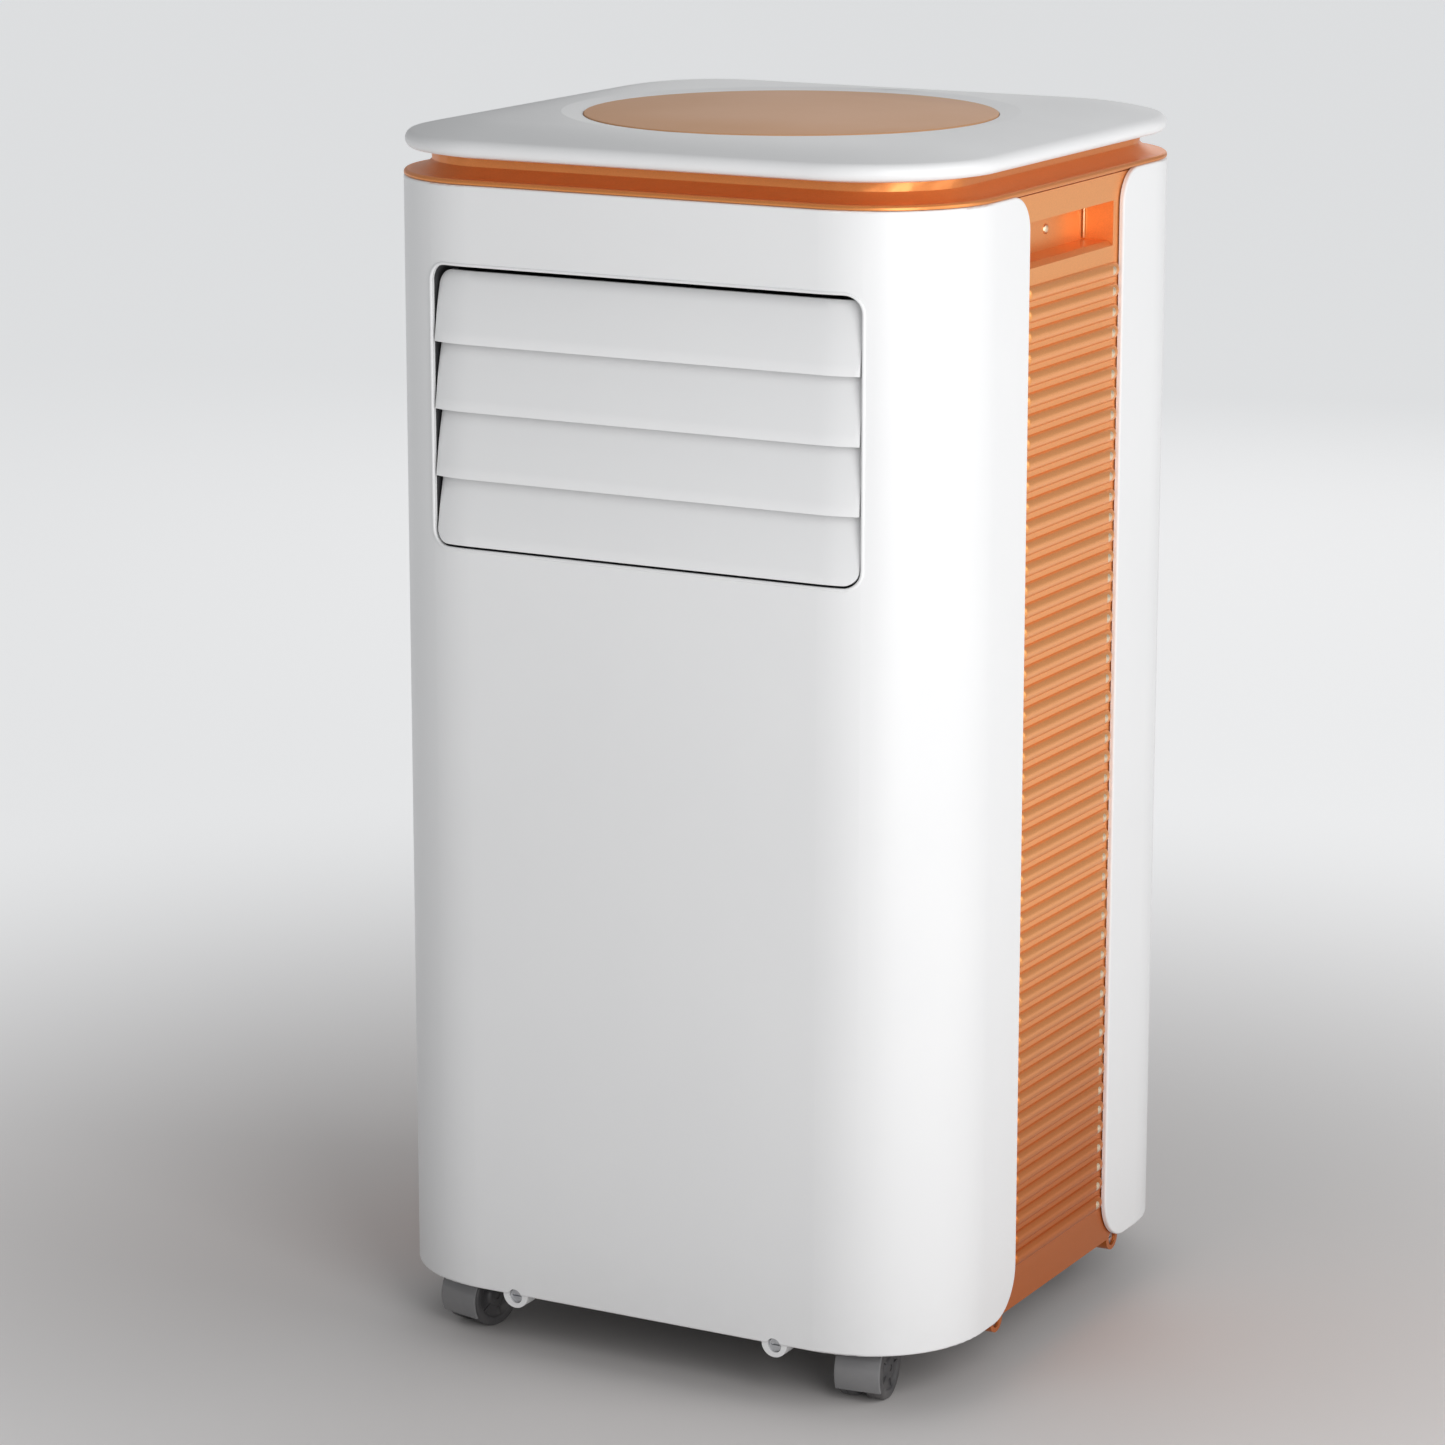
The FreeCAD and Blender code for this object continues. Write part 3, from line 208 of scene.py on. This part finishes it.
def mixed(tree, factor, first, second):
    """Mixes two colours. Each is a socket or an RGB tuple."""
    made = tree.nodes.new("ShaderNodeMix")
    made.data_type = "RGBA"
    tree.links.new(factor, made.inputs["Factor"])
    for socket, color in ((made.inputs[6], first), (made.inputs[7], second)):
        if isinstance(color, tuple):
            socket.default_value = (*color, 1)
        else:
            tree.links.new(color, socket)
    return made.outputs[2]


def moulded_grain():
    """Fine grain as a normal, and a roughness that drifts slowly over the surface."""
    group, given, out = node_group(
        "moulded_grain",
        [("Grain Scale", "NodeSocketFloat", 2500.0), ("Grain Strength", "NodeSocketFloat", 0.1),
         ("Rough Low", "NodeSocketFloat", 0.3), ("Rough High", "NodeSocketFloat", 0.4)],
        [("Normal", "NodeSocketVector"), ("Roughness", "NodeSocketFloat"), ("Drift", "NodeSocketFloat")],
    )
    coords = group.nodes.new("ShaderNodeTexCoord").outputs["Object"]
    grain = noise(group, coords, given.outputs["Grain Scale"], 3)
    drift = noise(group, coords, 9.0, 4, 0.6)
    group.links.new(bump(group, grain, given.outputs["Grain Strength"], 0.0002), out.inputs["Normal"])
    low, high = given.outputs["Rough Low"], given.outputs["Rough High"]
    group.links.new(spread(group, drift, low, high), out.inputs["Roughness"])
    group.links.new(drift, out.inputs["Drift"])
    return group


GRAIN = moulded_grain()
print("group outputs:", [item.name for item in GRAIN.interface.items_tree if item.in_out == "OUTPUT"])

# %% [markdown]
# The second group is dust and rubbing: a mask that is strong low down, where feet and brushes meet the
# machine, and weak higher up. It reads the height straight from the Object coordinates, which is safe
# because every piece keeps its place in its mesh.

# %% Node group: low dust
def low_dust():
    """Mask of patchy dust that fades out between the floor and the given height."""
    group, given, out = node_group(
        "low_dust",
        [("Fade Height", "NodeSocketFloat", 0.06), ("Amount", "NodeSocketFloat", 0.5)],
        [("Mask", "NodeSocketFloat")],
    )
    coords = group.nodes.new("ShaderNodeTexCoord").outputs["Object"]
    split = group.nodes.new("ShaderNodeSeparateXYZ")
    group.links.new(coords, split.inputs["Vector"])
    fade = group.nodes.new("ShaderNodeMapRange")
    fade.interpolation_type = "SMOOTHSTEP"
    fade.inputs["To Min"].default_value = 1
    fade.inputs["To Max"].default_value = 0
    group.links.new(split.outputs["Z"], fade.inputs["Value"])
    group.links.new(given.outputs["Fade Height"], fade.inputs["From Max"])
    patches = spread(group, noise(group, coords, 60.0, 5, 0.65), -0.4, 1.3)
    for value in (fade.outputs["Result"], given.outputs["Amount"]):
        product = group.nodes.new("ShaderNodeMath")
        product.operation = "MULTIPLY"
        product.use_clamp = True
        group.links.new(patches, product.inputs[0])
        group.links.new(value, product.inputs[1])
        patches = product.outputs[0]
    group.links.new(patches, out.inputs["Mask"])
    return group


DUST = low_dust()
print("dust inputs:", [item.name for item in DUST.interface.items_tree if item.in_out == "INPUT"])


# %% [markdown]
# Every plastic finish is then one short recipe: a colour that drifts a little, the grain group for bump and
# roughness, and the dust group if the piece is near the floor.

# %% Plastic finishes
def place_group(tree, group, **values):
    """Puts a group in a material. Underscores in the names stand for spaces."""
    made = tree.nodes.new("ShaderNodeGroup")
    made.node_tree = group
    for label, value in values.items():
        made.inputs[label.replace("_", " ")].default_value = value
    return made


DUST_TONE = (0.42, 0.39, 0.36)


def plastic(name, light, dark, rough, grain, dust=0.0, coat=0.0):
    """Moulded plastic whose colour drifts between two close tones. grain is its scale and strength."""
    made, shader = plain_material(name, light, rough[0])
    tree = made.node_tree
    skin = place_group(
        tree, GRAIN, Grain_Scale=grain[0], Grain_Strength=grain[1], Rough_Low=rough[0], Rough_High=rough[1]
    )
    color = mixed(tree, skin.outputs["Drift"], light, dark)
    if dust:
        powder = place_group(tree, DUST, Fade_Height=0.09, Amount=dust)
        color = mixed(tree, powder.outputs["Mask"], color, DUST_TONE)
    tree.links.new(color, shader.inputs["Base Color"])
    tree.links.new(skin.outputs["Roughness"], shader.inputs["Roughness"])
    tree.links.new(skin.outputs["Normal"], shader.inputs["Normal"])
    shader.inputs["Coat Weight"].default_value = coat
    shader.inputs["Coat Roughness"].default_value = 0.25
    return made


finishes = {
    "shell_white": plastic(
        "satin_white", (0.83, 0.83, 0.83), (0.79, 0.79, 0.795), (0.34, 0.44), (1800.0, 0.06), dust=0.12
    ),
    "rear_white": plastic(
        "textured_white", (0.78, 0.78, 0.78), (0.73, 0.73, 0.735), (0.48, 0.6), (1400.0, 0.25), dust=0.15
    ),
    "disc_tan": plastic("touch_tan", (0.77, 0.40, 0.195), (0.72, 0.37, 0.175), (0.5, 0.6), (3000.0, 0.12)),
    "dark_plastic": plastic(
        "dark_plastic", (0.045, 0.045, 0.048), (0.03, 0.03, 0.032), (0.45, 0.6), (1500.0, 0.3), dust=0.3
    ),
    "caster_grey": plastic(
        "caster_grey", (0.22, 0.22, 0.225), (0.17, 0.17, 0.175), (0.16, 0.24), (2200.0, 0.05),
        dust=0.12, coat=0.5,
    ),
    "caster_tread": plastic(
        "caster_tread", (0.055, 0.055, 0.06), (0.035, 0.035, 0.04), (0.35, 0.5), (1200.0, 0.3), dust=0.25
    ),
    "bush_rubber": plastic("bush_rubber", (0.02, 0.02, 0.02), (0.03, 0.03, 0.03), (0.6, 0.8), (1500.0, 0.3)),
    "circuit_board": plastic(
        "circuit_board", (0.02, 0.12, 0.06), (0.03, 0.16, 0.08), (0.3, 0.4), (900.0, 0.2)
    ),
    "black_enamel": plastic(
        "black_enamel", (0.02, 0.02, 0.02), (0.03, 0.03, 0.03), (0.2, 0.32), (600.0, 0.15), coat=0.5
    ),
}
print("plastic finishes:", sorted(finishes))

# %% [markdown]
# The side panels and the collar wear a copper paint: fine metal flakes in a satin lacquer. Each flake
# leans its own way, so a cell pattern tilts the normal a little and changes the colour from flake to flake.
# The colour is deeper low down and paler above: painted shade low on the panels and a painted sheen higher
# up. The collar on top is a shade deeper again, as painted shade.

# %% Copper paint
# the deep colour low down is painted shade, not a different paint
COPPER_SHADED_LOW = (0.60, 0.155, 0.026)
COPPER_SHADE_AND_SHEEN_RISES = [  # from this height to that, in metres, the colour turns to this shade: a painted sheen up the panels, then a deeper painted shade on the collar
    (0.05, 0.26, (0.96, 0.405, 0.135)),
    (0.669, 0.672, (0.85, 0.30, 0.085)),
]
COPPER_FLAKE = (0.35, 0.12, 0.03)


def copper_paint():
    made, shader = plain_material("copper_paint", COPPER_SHADED_LOW, 0.38)
    tree = made.node_tree
    coords = tree.nodes.new("ShaderNodeTexCoord").outputs["Object"]
    flakes = tree.nodes.new("ShaderNodeTexVoronoi")
    flakes.inputs["Scale"].default_value = 2600
    tree.links.new(coords, flakes.inputs["Vector"])
    tone = tree.nodes.new("ShaderNodeSeparateColor")
    tree.links.new(flakes.outputs["Color"], tone.inputs["Color"])
    split = tree.nodes.new("ShaderNodeSeparateXYZ")
    tree.links.new(coords, split.inputs["Vector"])
    shade = COPPER_SHADED_LOW
    # these rises paint a sheen up the panels and a deeper shade on the collar
    for low, high, above in COPPER_SHADE_AND_SHEEN_RISES:
        rise = tree.nodes.new("ShaderNodeMapRange")
        rise.inputs["From Min"].default_value, rise.inputs["From Max"].default_value = low, high
        tree.links.new(split.outputs["Z"], rise.inputs["Value"])
        shade = mixed(tree, rise.outputs["Result"], shade, above)
    color = mixed(tree, spread(tree, tone.outputs["Red"], 0.0, 0.16), shade, COPPER_FLAKE)
    powder = place_group(tree, DUST, Fade_Height=0.07, Amount=0.05)
    color = mixed(tree, powder.outputs["Mask"], color, (0.45, 0.38, 0.32))
    tree.links.new(color, shader.inputs["Base Color"])
    skin = place_group(tree, GRAIN, Grain_Scale=900.0, Grain_Strength=0.05, Rough_Low=0.33, Rough_High=0.43)
    tree.links.new(skin.outputs["Roughness"], shader.inputs["Roughness"])
    normal = bump(tree, tone.outputs["Green"], 0.035, 0.0002, skin.outputs["Normal"])
    tree.links.new(normal, shader.inputs["Normal"])
    shader.inputs["Metallic"].default_value = 0.72
    shader.inputs["Coat Weight"].default_value = 0.1
    shader.inputs["Coat Roughness"].default_value = 0.2
    return made


finishes["copper_satin"] = copper_paint()
print("copper nodes:", len(finishes["copper_satin"].node_tree.nodes))

# %% [markdown]
# Bare metals differ from paint: no lacquer, stronger reflection, and marks along one direction. The coils
# are stacks of thin fins, which a wave pattern draws across their faces.

# %% Metals and meshes
WAVE_PER_METRE = 0.314  # scale of a wave pattern whose bands are one metre apart


def bare_metal(name, light, dark, rough):
    """Metal with faint drawn lines along Z and cloudy roughness."""
    made, shader = plain_material(name, light, rough[0])
    tree = made.node_tree
    coords = tree.nodes.new("ShaderNodeTexCoord").outputs["Object"]
    stretch = tree.nodes.new("ShaderNodeMapping")
    stretch.inputs["Scale"].default_value = (1, 1, 0.03)
    tree.links.new(coords, stretch.inputs["Vector"])
    lines = noise(tree, stretch.outputs["Vector"], 1500.0, 3)
    clouds = noise(tree, coords, 25.0, 4, 0.6)
    tree.links.new(mixed(tree, clouds, light, dark), shader.inputs["Base Color"])
    tree.links.new(spread(tree, clouds, rough[0], rough[1]), shader.inputs["Roughness"])
    tree.links.new(bump(tree, lines, 0.12, 0.0001), shader.inputs["Normal"])
    shader.inputs["Metallic"].default_value = 1
    return made


def finned(name, spacing, light, dark):
    """Stack of fins across X, drawn as colour and bump."""
    made, shader = plain_material(name, light, 0.35)
    tree = made.node_tree
    coords = tree.nodes.new("ShaderNodeTexCoord").outputs["Object"]
    fins = tree.nodes.new("ShaderNodeTexWave")
    fins.bands_direction = "X"
    fins.inputs["Scale"].default_value = WAVE_PER_METRE / spacing
    fins.inputs["Distortion"].default_value = 0.4
    tree.links.new(coords, fins.inputs["Vector"])
    tree.links.new(mixed(tree, fins.outputs["Fac"], dark, light), shader.inputs["Base Color"])
    tree.links.new(bump(tree, fins.outputs["Fac"], 0.6, 0.0005), shader.inputs["Normal"])
    shader.inputs["Metallic"].default_value = 0.9
    return made


def woven_net(name, spacing, thread, gap):
    """Filter net: two crossed wave patterns, whose higher one is the thread on top."""
    made, shader = plain_material(name, thread, 0.6)
    tree = made.node_tree
    coords = tree.nodes.new("ShaderNodeTexCoord").outputs["Object"]
    waves = []
    for direction in ("X", "Z"):
        wave = tree.nodes.new("ShaderNodeTexWave")
        wave.bands_direction = direction
        wave.inputs["Scale"].default_value = WAVE_PER_METRE / spacing
        tree.links.new(coords, wave.inputs["Vector"])
        waves.append(wave.outputs["Fac"])
    top = tree.nodes.new("ShaderNodeMath")
    top.operation = "MAXIMUM"
    tree.links.new(waves[0], top.inputs[0])
    tree.links.new(waves[1], top.inputs[1])
    weave = spread(tree, top.outputs[0], -1.2, 1.0)
    tree.links.new(mixed(tree, weave, gap, thread), shader.inputs["Base Color"])
    tree.links.new(bump(tree, top.outputs[0], 0.8, 0.0005), shader.inputs["Normal"])
    return made


finishes["motor_steel"] = bare_metal("plated_steel", (0.55, 0.56, 0.57), (0.45, 0.46, 0.48), (0.28, 0.42))
finishes["zinc_steel"] = bare_metal("zinc_steel", (0.62, 0.63, 0.64), (0.5, 0.51, 0.54), (0.3, 0.45))
finishes["pipe_copper"] = bare_metal("pipe_copper", (0.98, 0.80, 0.58), (0.90, 0.68, 0.46), (0.32, 0.42))
finishes["coil_aluminium"] = finned("coil_fins", 0.0018, (0.75, 0.76, 0.77), (0.2, 0.2, 0.21))
finishes["filter_mesh"] = woven_net("filter_net", 0.0012, (0.10, 0.10, 0.105), (0.012, 0.012, 0.013))
print("finishes:", len(finishes))

# %% [markdown]
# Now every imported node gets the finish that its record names. The mesh itself is never touched.

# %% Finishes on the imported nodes
slot_of = {entry["node"]: entry["material_slot"] for entry in frame["record"]["subparts"]}
body_of = {node: body for body, held in frame["record"]["behaviour"]["bodies"].items() for node in held}
for name, node in nodes.items():
    for holder in node.material_slots:
        holder.material = finishes[slot_of[name]]
print("painted nodes:", len(nodes))


# %% [markdown]
# Real mouldings have no razor edges: the mould rounds each one by a few tenths of a millimetre, and that
# rounding catches the light. The CAD has sharp edges on most parts, so many visible ones are copied, their
# loose triangles are merged, and a narrow Bevel modifier softens the copy. The shells, the top plate and
# the side panels keep their CAD meshes. Most of their seen edges are rounded already, and merging the
# triangles of such large curved faces would show as creases in the shading.

# %% Softened copies
def add_piece(name, shape, node=None, slot=None, body=None):
    """Turns a bmesh into an object that rides on a body and wears a slot's finish."""
    mesh = bpy.data.meshes.new(name)
    shape.to_mesh(mesh)
    shape.free()
    piece = bpy.data.objects.new(name, mesh)
    bpy.context.scene.collection.objects.link(piece)
    slot = slot or slot_of[node]
    mesh.materials.append(finishes[slot])
    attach(piece, body or body_of[node])
    if node:
        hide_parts(node)
    return piece


def soften(node, width):
    """Copy of a node with merged faces and rounded edges, width in millimetres."""
    shape = bmesh.new()
    shape.from_mesh(nodes[node].data)
    bmesh.ops.remove_doubles(shape, verts=shape.verts, dist=1e-6)
    bmesh.ops.dissolve_limit(
        shape, angle_limit=math.radians(0.6), verts=shape.verts, edges=shape.edges, delimit={"NORMAL"}
    )
    for face in shape.faces:
        face.smooth = True
    piece = add_piece(node + "_soft", shape, node)
    rounding = piece.modifiers.new("rounding", "BEVEL")
    rounding.width = width * MM
    rounding.segments = 2
    rounding.limit_method = "ANGLE"
    rounding.angle_limit = math.radians(35)
    rounding.harden_normals = True
    return piece


softened = {  # node: width of the rounding, in millimetres
    "louvre_frame": 0.4,
    "louvre_blade_1": 0.5, "louvre_blade_2": 0.5, "louvre_blade_3": 0.5, "louvre_blade_4": 0.5,
    "top_collar": 0.4, "control_disc": 0.3, "upper_filter_frame": 0.6, "lower_filter_frame": 0.6,
    "exhaust_collar": 0.5, "exhaust_guard": 0.3, "drain_plug": 0.4, "cord_gland": 0.4, "case_screws": 0.15,
}
for name, width in softened.items():
    soften(name, width)
print("softened:", len(softened))

# %% [markdown]
# Each caster is a pair of wheels under a curved fender. A wheel is a body of revolution, so half its section
# is drawn once and spun round the axle. A Screw modifier would do the same, but a spin leaves a plain mesh
# that can be joined to its neighbours. Both wheels and their axle are one piece: they turn together.

# %% Shapes spun round an axle
TRAIL, WHEEL_R = 16 * MM, 18 * MM


def spun(section, closed=False, start=0.0, angle=360.0, steps=48):
    """Spins (x, radius) points, in millimetres, round X. Start, in degrees, counts up from the front."""
    shape = bmesh.new()
    lean = math.radians(start)
    front, up = -math.cos(lean), math.sin(lean)
    ring = [shape.verts.new((x * MM, r * MM * front, r * MM * up)) for x, r in section]
    runs = list(zip(ring, ring[1:])) + ([(ring[-1], ring[0])] if closed else [])
    edges = [shape.edges.new(pair) for pair in runs]
    full = angle > 359
    bmesh.ops.spin(
        shape, geom=ring + edges, cent=(0, 0, 0), axis=(-1, 0, 0), angle=math.radians(angle),
        steps=steps, use_merge=full, use_duplicate=False,
    )
    bmesh.ops.remove_doubles(shape, verts=shape.verts, dist=1e-6)
    if not full:
        bmesh.ops.holes_fill(shape, edges=[edge for edge in shape.edges if edge.is_boundary], sides=0)
    bmesh.ops.recalc_face_normals(shape, faces=shape.faces)
    return shape


def joined(parts):
    """One bmesh from several, which it uses up."""
    whole = bmesh.new()
    for part in parts:
        scratch = bpy.data.meshes.new("scratch")
        part.to_mesh(scratch)
        part.free()
        whole.from_mesh(scratch)
        bpy.data.meshes.remove(scratch)
    return whole


def smoothed(shape, sharp_angle=38):
    """Smooth shading, broken at edges that turn more than the given angle."""
    for face in shape.faces:
        face.smooth = True
    for edge in shape.edges:
        edge.smooth = edge.calc_face_angle(0) < math.radians(sharp_angle)
    return shape


def caster_place(corner):
    """Moves a caster built at the origin, wheels to the front, to its corner at rest."""
    swivel, roll = joints[f"caster_{corner}_swivel"], joints[f"wheels_{corner}_roll"]
    turn = math.atan2(roll["axis"][1], roll["axis"][0])
    return Matrix.Translation((swivel["pos_m"][0], swivel["pos_m"][1], 0)) @ Matrix.Rotation(turn, 4, "Z")


CORNERS = ("fl", "fr", "rl", "rr")
print("front left caster turned", round(math.degrees(caster_place("fl").to_euler().z), 1), "degrees")

# %% Caster wheels
WHEEL_SECTION = [
    (2.7, 1.9), (2.7, 16.4), (3.1, 17.4), (4.0, 17.95), (7.5, 18.0), (7.7, 17.7), (8.1, 17.7), (8.3, 18.0),
    (11.9, 17.95), (12.8, 17.4), (13.2, 16.4), (13.2, 13.4), (12.9, 12.9), (12.4, 12.6), (11.9, 12.0),
    (11.7, 8.2), (11.9, 7.0), (12.5, 6.4), (13.0, 5.8), (13.15, 4.6), (13.2, 3.0), (13.2, 1.9),
]
AXLE_SECTION = [(-12.9, 0), (-12.9, 1.4), (-12.5, 1.9), (12.5, 1.9), (12.9, 1.4), (12.9, 0)]
DISH_RIBS = 5
DISH_RIB_SIZE = (0.9 * MM, 6.2 * MM, 1.3 * MM)
DISH_RIB_X, DISH_RIB_OUT = 12.2 * MM, 9.4 * MM


def wheel_ribs(side):
    """Five flat ribs in the dish of a wheel."""
    ribs = bmesh.new()
    for count in range(DISH_RIBS):
        turn = Matrix.Rotation(math.radians(360 / DISH_RIBS * count), 3, "X")
        made = bmesh.ops.create_cube(ribs, size=1)["verts"]
        bmesh.ops.scale(ribs, vec=DISH_RIB_SIZE, verts=made)
        bmesh.ops.translate(ribs, vec=(side * DISH_RIB_X, DISH_RIB_OUT, 0), verts=made)
        bmesh.ops.rotate(ribs, cent=(0, 0, 0), matrix=turn, verts=made)
    return ribs


def caster_wheels(corner):
    right = spun(WHEEL_SECTION, closed=True)
    left = right.copy()
    bmesh.ops.scale(left, vec=(-1, 1, 1), verts=left.verts)
    bmesh.ops.recalc_face_normals(left, faces=left.faces)
    pair = joined([right, left, wheel_ribs(1), wheel_ribs(-1), spun(AXLE_SECTION, steps=24)])
    bmesh.ops.translate(pair, vec=(0, -TRAIL, WHEEL_R), verts=pair.verts)
    bmesh.ops.transform(pair, matrix=caster_place(corner), verts=pair.verts)
    return add_piece(f"caster_{corner}_wheel_pair", smoothed(pair), f"caster_{corner}_wheels")


print("wheel faces:", [len(caster_wheels(corner).data.polygons) for corner in CORNERS])

# %% [markdown]
# The fender is an open strip that wraps the wheels from low at the front, over the top, to the back. It is
# spun through part of a turn, and its ends are filled. A web between the wheels and a boss for the stem
# complete it, and a Bevel modifier rounds what the section leaves sharp.

# %% Caster hoods
FENDER_SECTION = [
    (-13.5, 19.0), (-13.5, 19.6), (-13.2, 20.05), (-12.7, 20.2), (12.7, 20.2), (13.2, 20.05), (13.5, 19.6),
    (13.5, 19.0), (13.2, 18.75), (-13.2, 18.75),
]
WEB_SECTION = [(-2.1, 2.2), (-2.1, 19.4), (2.1, 19.4), (2.1, 2.2)]
BOSS_LOW_R, BOSS_HIGH_R, BOSS_TALL, BOSS_MIDDLE = 8.5 * MM, 8.2 * MM, 22 * MM, 33.3 * MM


def stem_boss():
    """Round boss over the fender that takes the swivel stem, built on the swivel axis."""
    boss = bmesh.new()
    bmesh.ops.create_cone(
        boss, cap_ends=True, cap_tris=False, segments=40, radius1=BOSS_LOW_R, radius2=BOSS_HIGH_R,
        depth=BOSS_TALL,
    )
    bmesh.ops.translate(boss, vec=(0, 0, BOSS_MIDDLE), verts=boss.verts)
    return boss


def caster_hood(corner):
    strip = spun(FENDER_SECTION, closed=True, start=-29, angle=197, steps=44)
    web = spun(WEB_SECTION, closed=True, start=-12, angle=200, steps=44)
    shell = joined([strip, web])
    bmesh.ops.translate(shell, vec=(0, -TRAIL, WHEEL_R), verts=shell.verts)
    hood = joined([shell, stem_boss()])
    bmesh.ops.transform(hood, matrix=caster_place(corner), verts=hood.verts)
    piece = add_piece(f"caster_{corner}_fender", smoothed(hood), f"caster_{corner}_hood")
    rounding = piece.modifiers.new("rounding", "BEVEL")
    rounding.width, rounding.segments, rounding.limit_method = 0.35 * MM, 2, "ANGLE"
    rounding.angle_limit = math.radians(50)
    return piece


print("hood faces:", [len(caster_hood(corner).data.polygons) for corner in CORNERS])

# %% [markdown]
# Three small parts in the pale bare-copper finish paint highlights onto the copper panels. A low stud stands
# near the rear end of every rib, and its brightness is a painted highlight on the rib's rounded end. A small
# dome in the back wall of each finger grip is a painted glint, and a bright strip down the grip's rear
# corner is a painted reflection. The studs of one side are low domes joined into one mesh, since nothing
# ever moves one without the others.

# %% Rib studs and grip pieces that paint in highlights
RIBS, RIB_FIRST, RIB_PITCH = 48, 62.0, 11.75
STUD_X, STUD_Y = 176.0, 52.0
STUD_HALF = (2.9, 4.6, 3.2)
GLINT_X, GLINT_Y, GRIP_Z = 157.0, 4.6, 642.0
GLINT_HALF = (1.3, 3.0, 3.0)
STRIP_X, STRIP_Y = 158.0, 53.9
STRIP_SIZE = (1.0, 1.6, 21.6)


def dome(x, y, z, half):
    """Oval ball with the given half sizes, sunk in a wall so that a low dome shows. All in millimetres."""
    shape = bmesh.new()
    bmesh.ops.create_uvsphere(shape, u_segments=16, v_segments=8, radius=MM)
    bmesh.ops.scale(shape, vec=half, verts=shape.verts)
    bmesh.ops.translate(shape, vec=(x * MM, y * MM, z * MM), verts=shape.verts)
    return shape


def corner_highlight_strip(side):
    """Thin upright strip in the rear corner of a grip that paints in a highlight."""
    shape = bmesh.new()
    bmesh.ops.create_cube(shape, size=MM)
    bmesh.ops.scale(shape, vec=STRIP_SIZE, verts=shape.verts)
    bmesh.ops.bevel(
        shape, geom=shape.edges[:], offset=0.35 * MM, segments=3, affect="EDGES", profile=0.5, material=-1
    )
    bmesh.ops.translate(shape, vec=(side * STRIP_X * MM, STRIP_Y * MM, GRIP_Z * MM), verts=shape.verts)
    return shape


heights = [RIB_FIRST + RIB_PITCH * count for count in range(RIBS)]
for label, side in (("right", 1), ("left", -1)):
    # pale studs: their brightness is a painted highlight on the rib ends
    studs = joined([dome(side * STUD_X, STUD_Y, z, STUD_HALF) for z in heights])
    add_piece(f"rib_highlight_studs_{label}", smoothed(studs), slot="pipe_copper", body="cabinet")
    # pale dome and strip in the grip: painted highlights
    grip_glints = joined([dome(side * GLINT_X, GLINT_Y, GRIP_Z, GLINT_HALF), corner_highlight_strip(side)])
    add_piece(f"grip_highlights_{label}", smoothed(grip_glints), slot="pipe_copper", body="cabinet")
print("studs on each side:", RIBS)

# %% [markdown]
# The air outlet has a raised white lip all round. It follows the opening's rounded corners and, at both
# sides, the bend of the cabinet itself, so it is swept along points that are computed rather than drawn.

# %% Lip of the air outlet
OUTLET_HALF, OUTLET_LOW, OUTLET_HIGH, OUTLET_R = 133.4, 467.3, 625.7, 10.0
FACE_HALF, FACE_Y, BEND_R = 109.0, 177.0, 70.0
LIP_R, LIP_OUT, LIP_SUNK = 1.0, 0.6, 0.45
LIP_SIDES, BEND_STEPS, RUN_STEPS = 12, 8, 40


def face_depth(x):
    """Y of the cabinet's front face at x, in millimetres."""
    bend = max(0.0, abs(x) - FACE_HALF)
    return -(FACE_Y - BEND_R) - math.sqrt(BEND_R**2 - bend**2)


def lip_path():
    """Points (x, z) round the opening, with their outward directions."""
    points = []
    for across, up, start in ((1, 1, 0), (-1, 1, 90), (-1, -1, 180), (1, -1, 270)):
        x = across * (OUTLET_HALF - OUTLET_R)
        z = OUTLET_HIGH - OUTLET_R if up > 0 else OUTLET_LOW + OUTLET_R
        for step in range(BEND_STEPS + 1):
            turn = math.radians(start + 90 / BEND_STEPS * step)
            points.append((x + OUTLET_R * math.cos(turn), z + OUTLET_R * math.sin(turn), turn))
        if up == across:
            run = [x * (1 - 2 * k / RUN_STEPS) for k in range(1, RUN_STEPS)]
            points += [(place, z + up * OUTLET_R, turn) for place in run]
    return points


def outlet_lip():
    """Round bar swept along the path, most of it sunk in the shell."""
    shape = bmesh.new()
    rings = []
    for x, z, turn in lip_path():
        ring = []
        for k in range(LIP_SIDES):
            lean = math.radians(360 / LIP_SIDES * k)
            out = LIP_OUT + LIP_R * math.cos(lean)
            y = face_depth(x) + LIP_SUNK + LIP_R * math.sin(lean)
            place = (x + out * math.cos(turn), y, z + out * math.sin(turn))
            ring.append(shape.verts.new([v * MM for v in place]))
        rings.append(ring)
    for first, second in zip(rings, rings[1:] + rings[:1]):
        for k in range(LIP_SIDES):
            shape.faces.new((first[k], first[k - 1], second[k - 1], second[k]))
    bmesh.ops.recalc_face_normals(shape, faces=shape.faces)
    return add_piece("outlet_lip", smoothed(shape), slot="shell_white", body="cabinet")


print("lip faces:", len(outlet_lip().data.polygons))
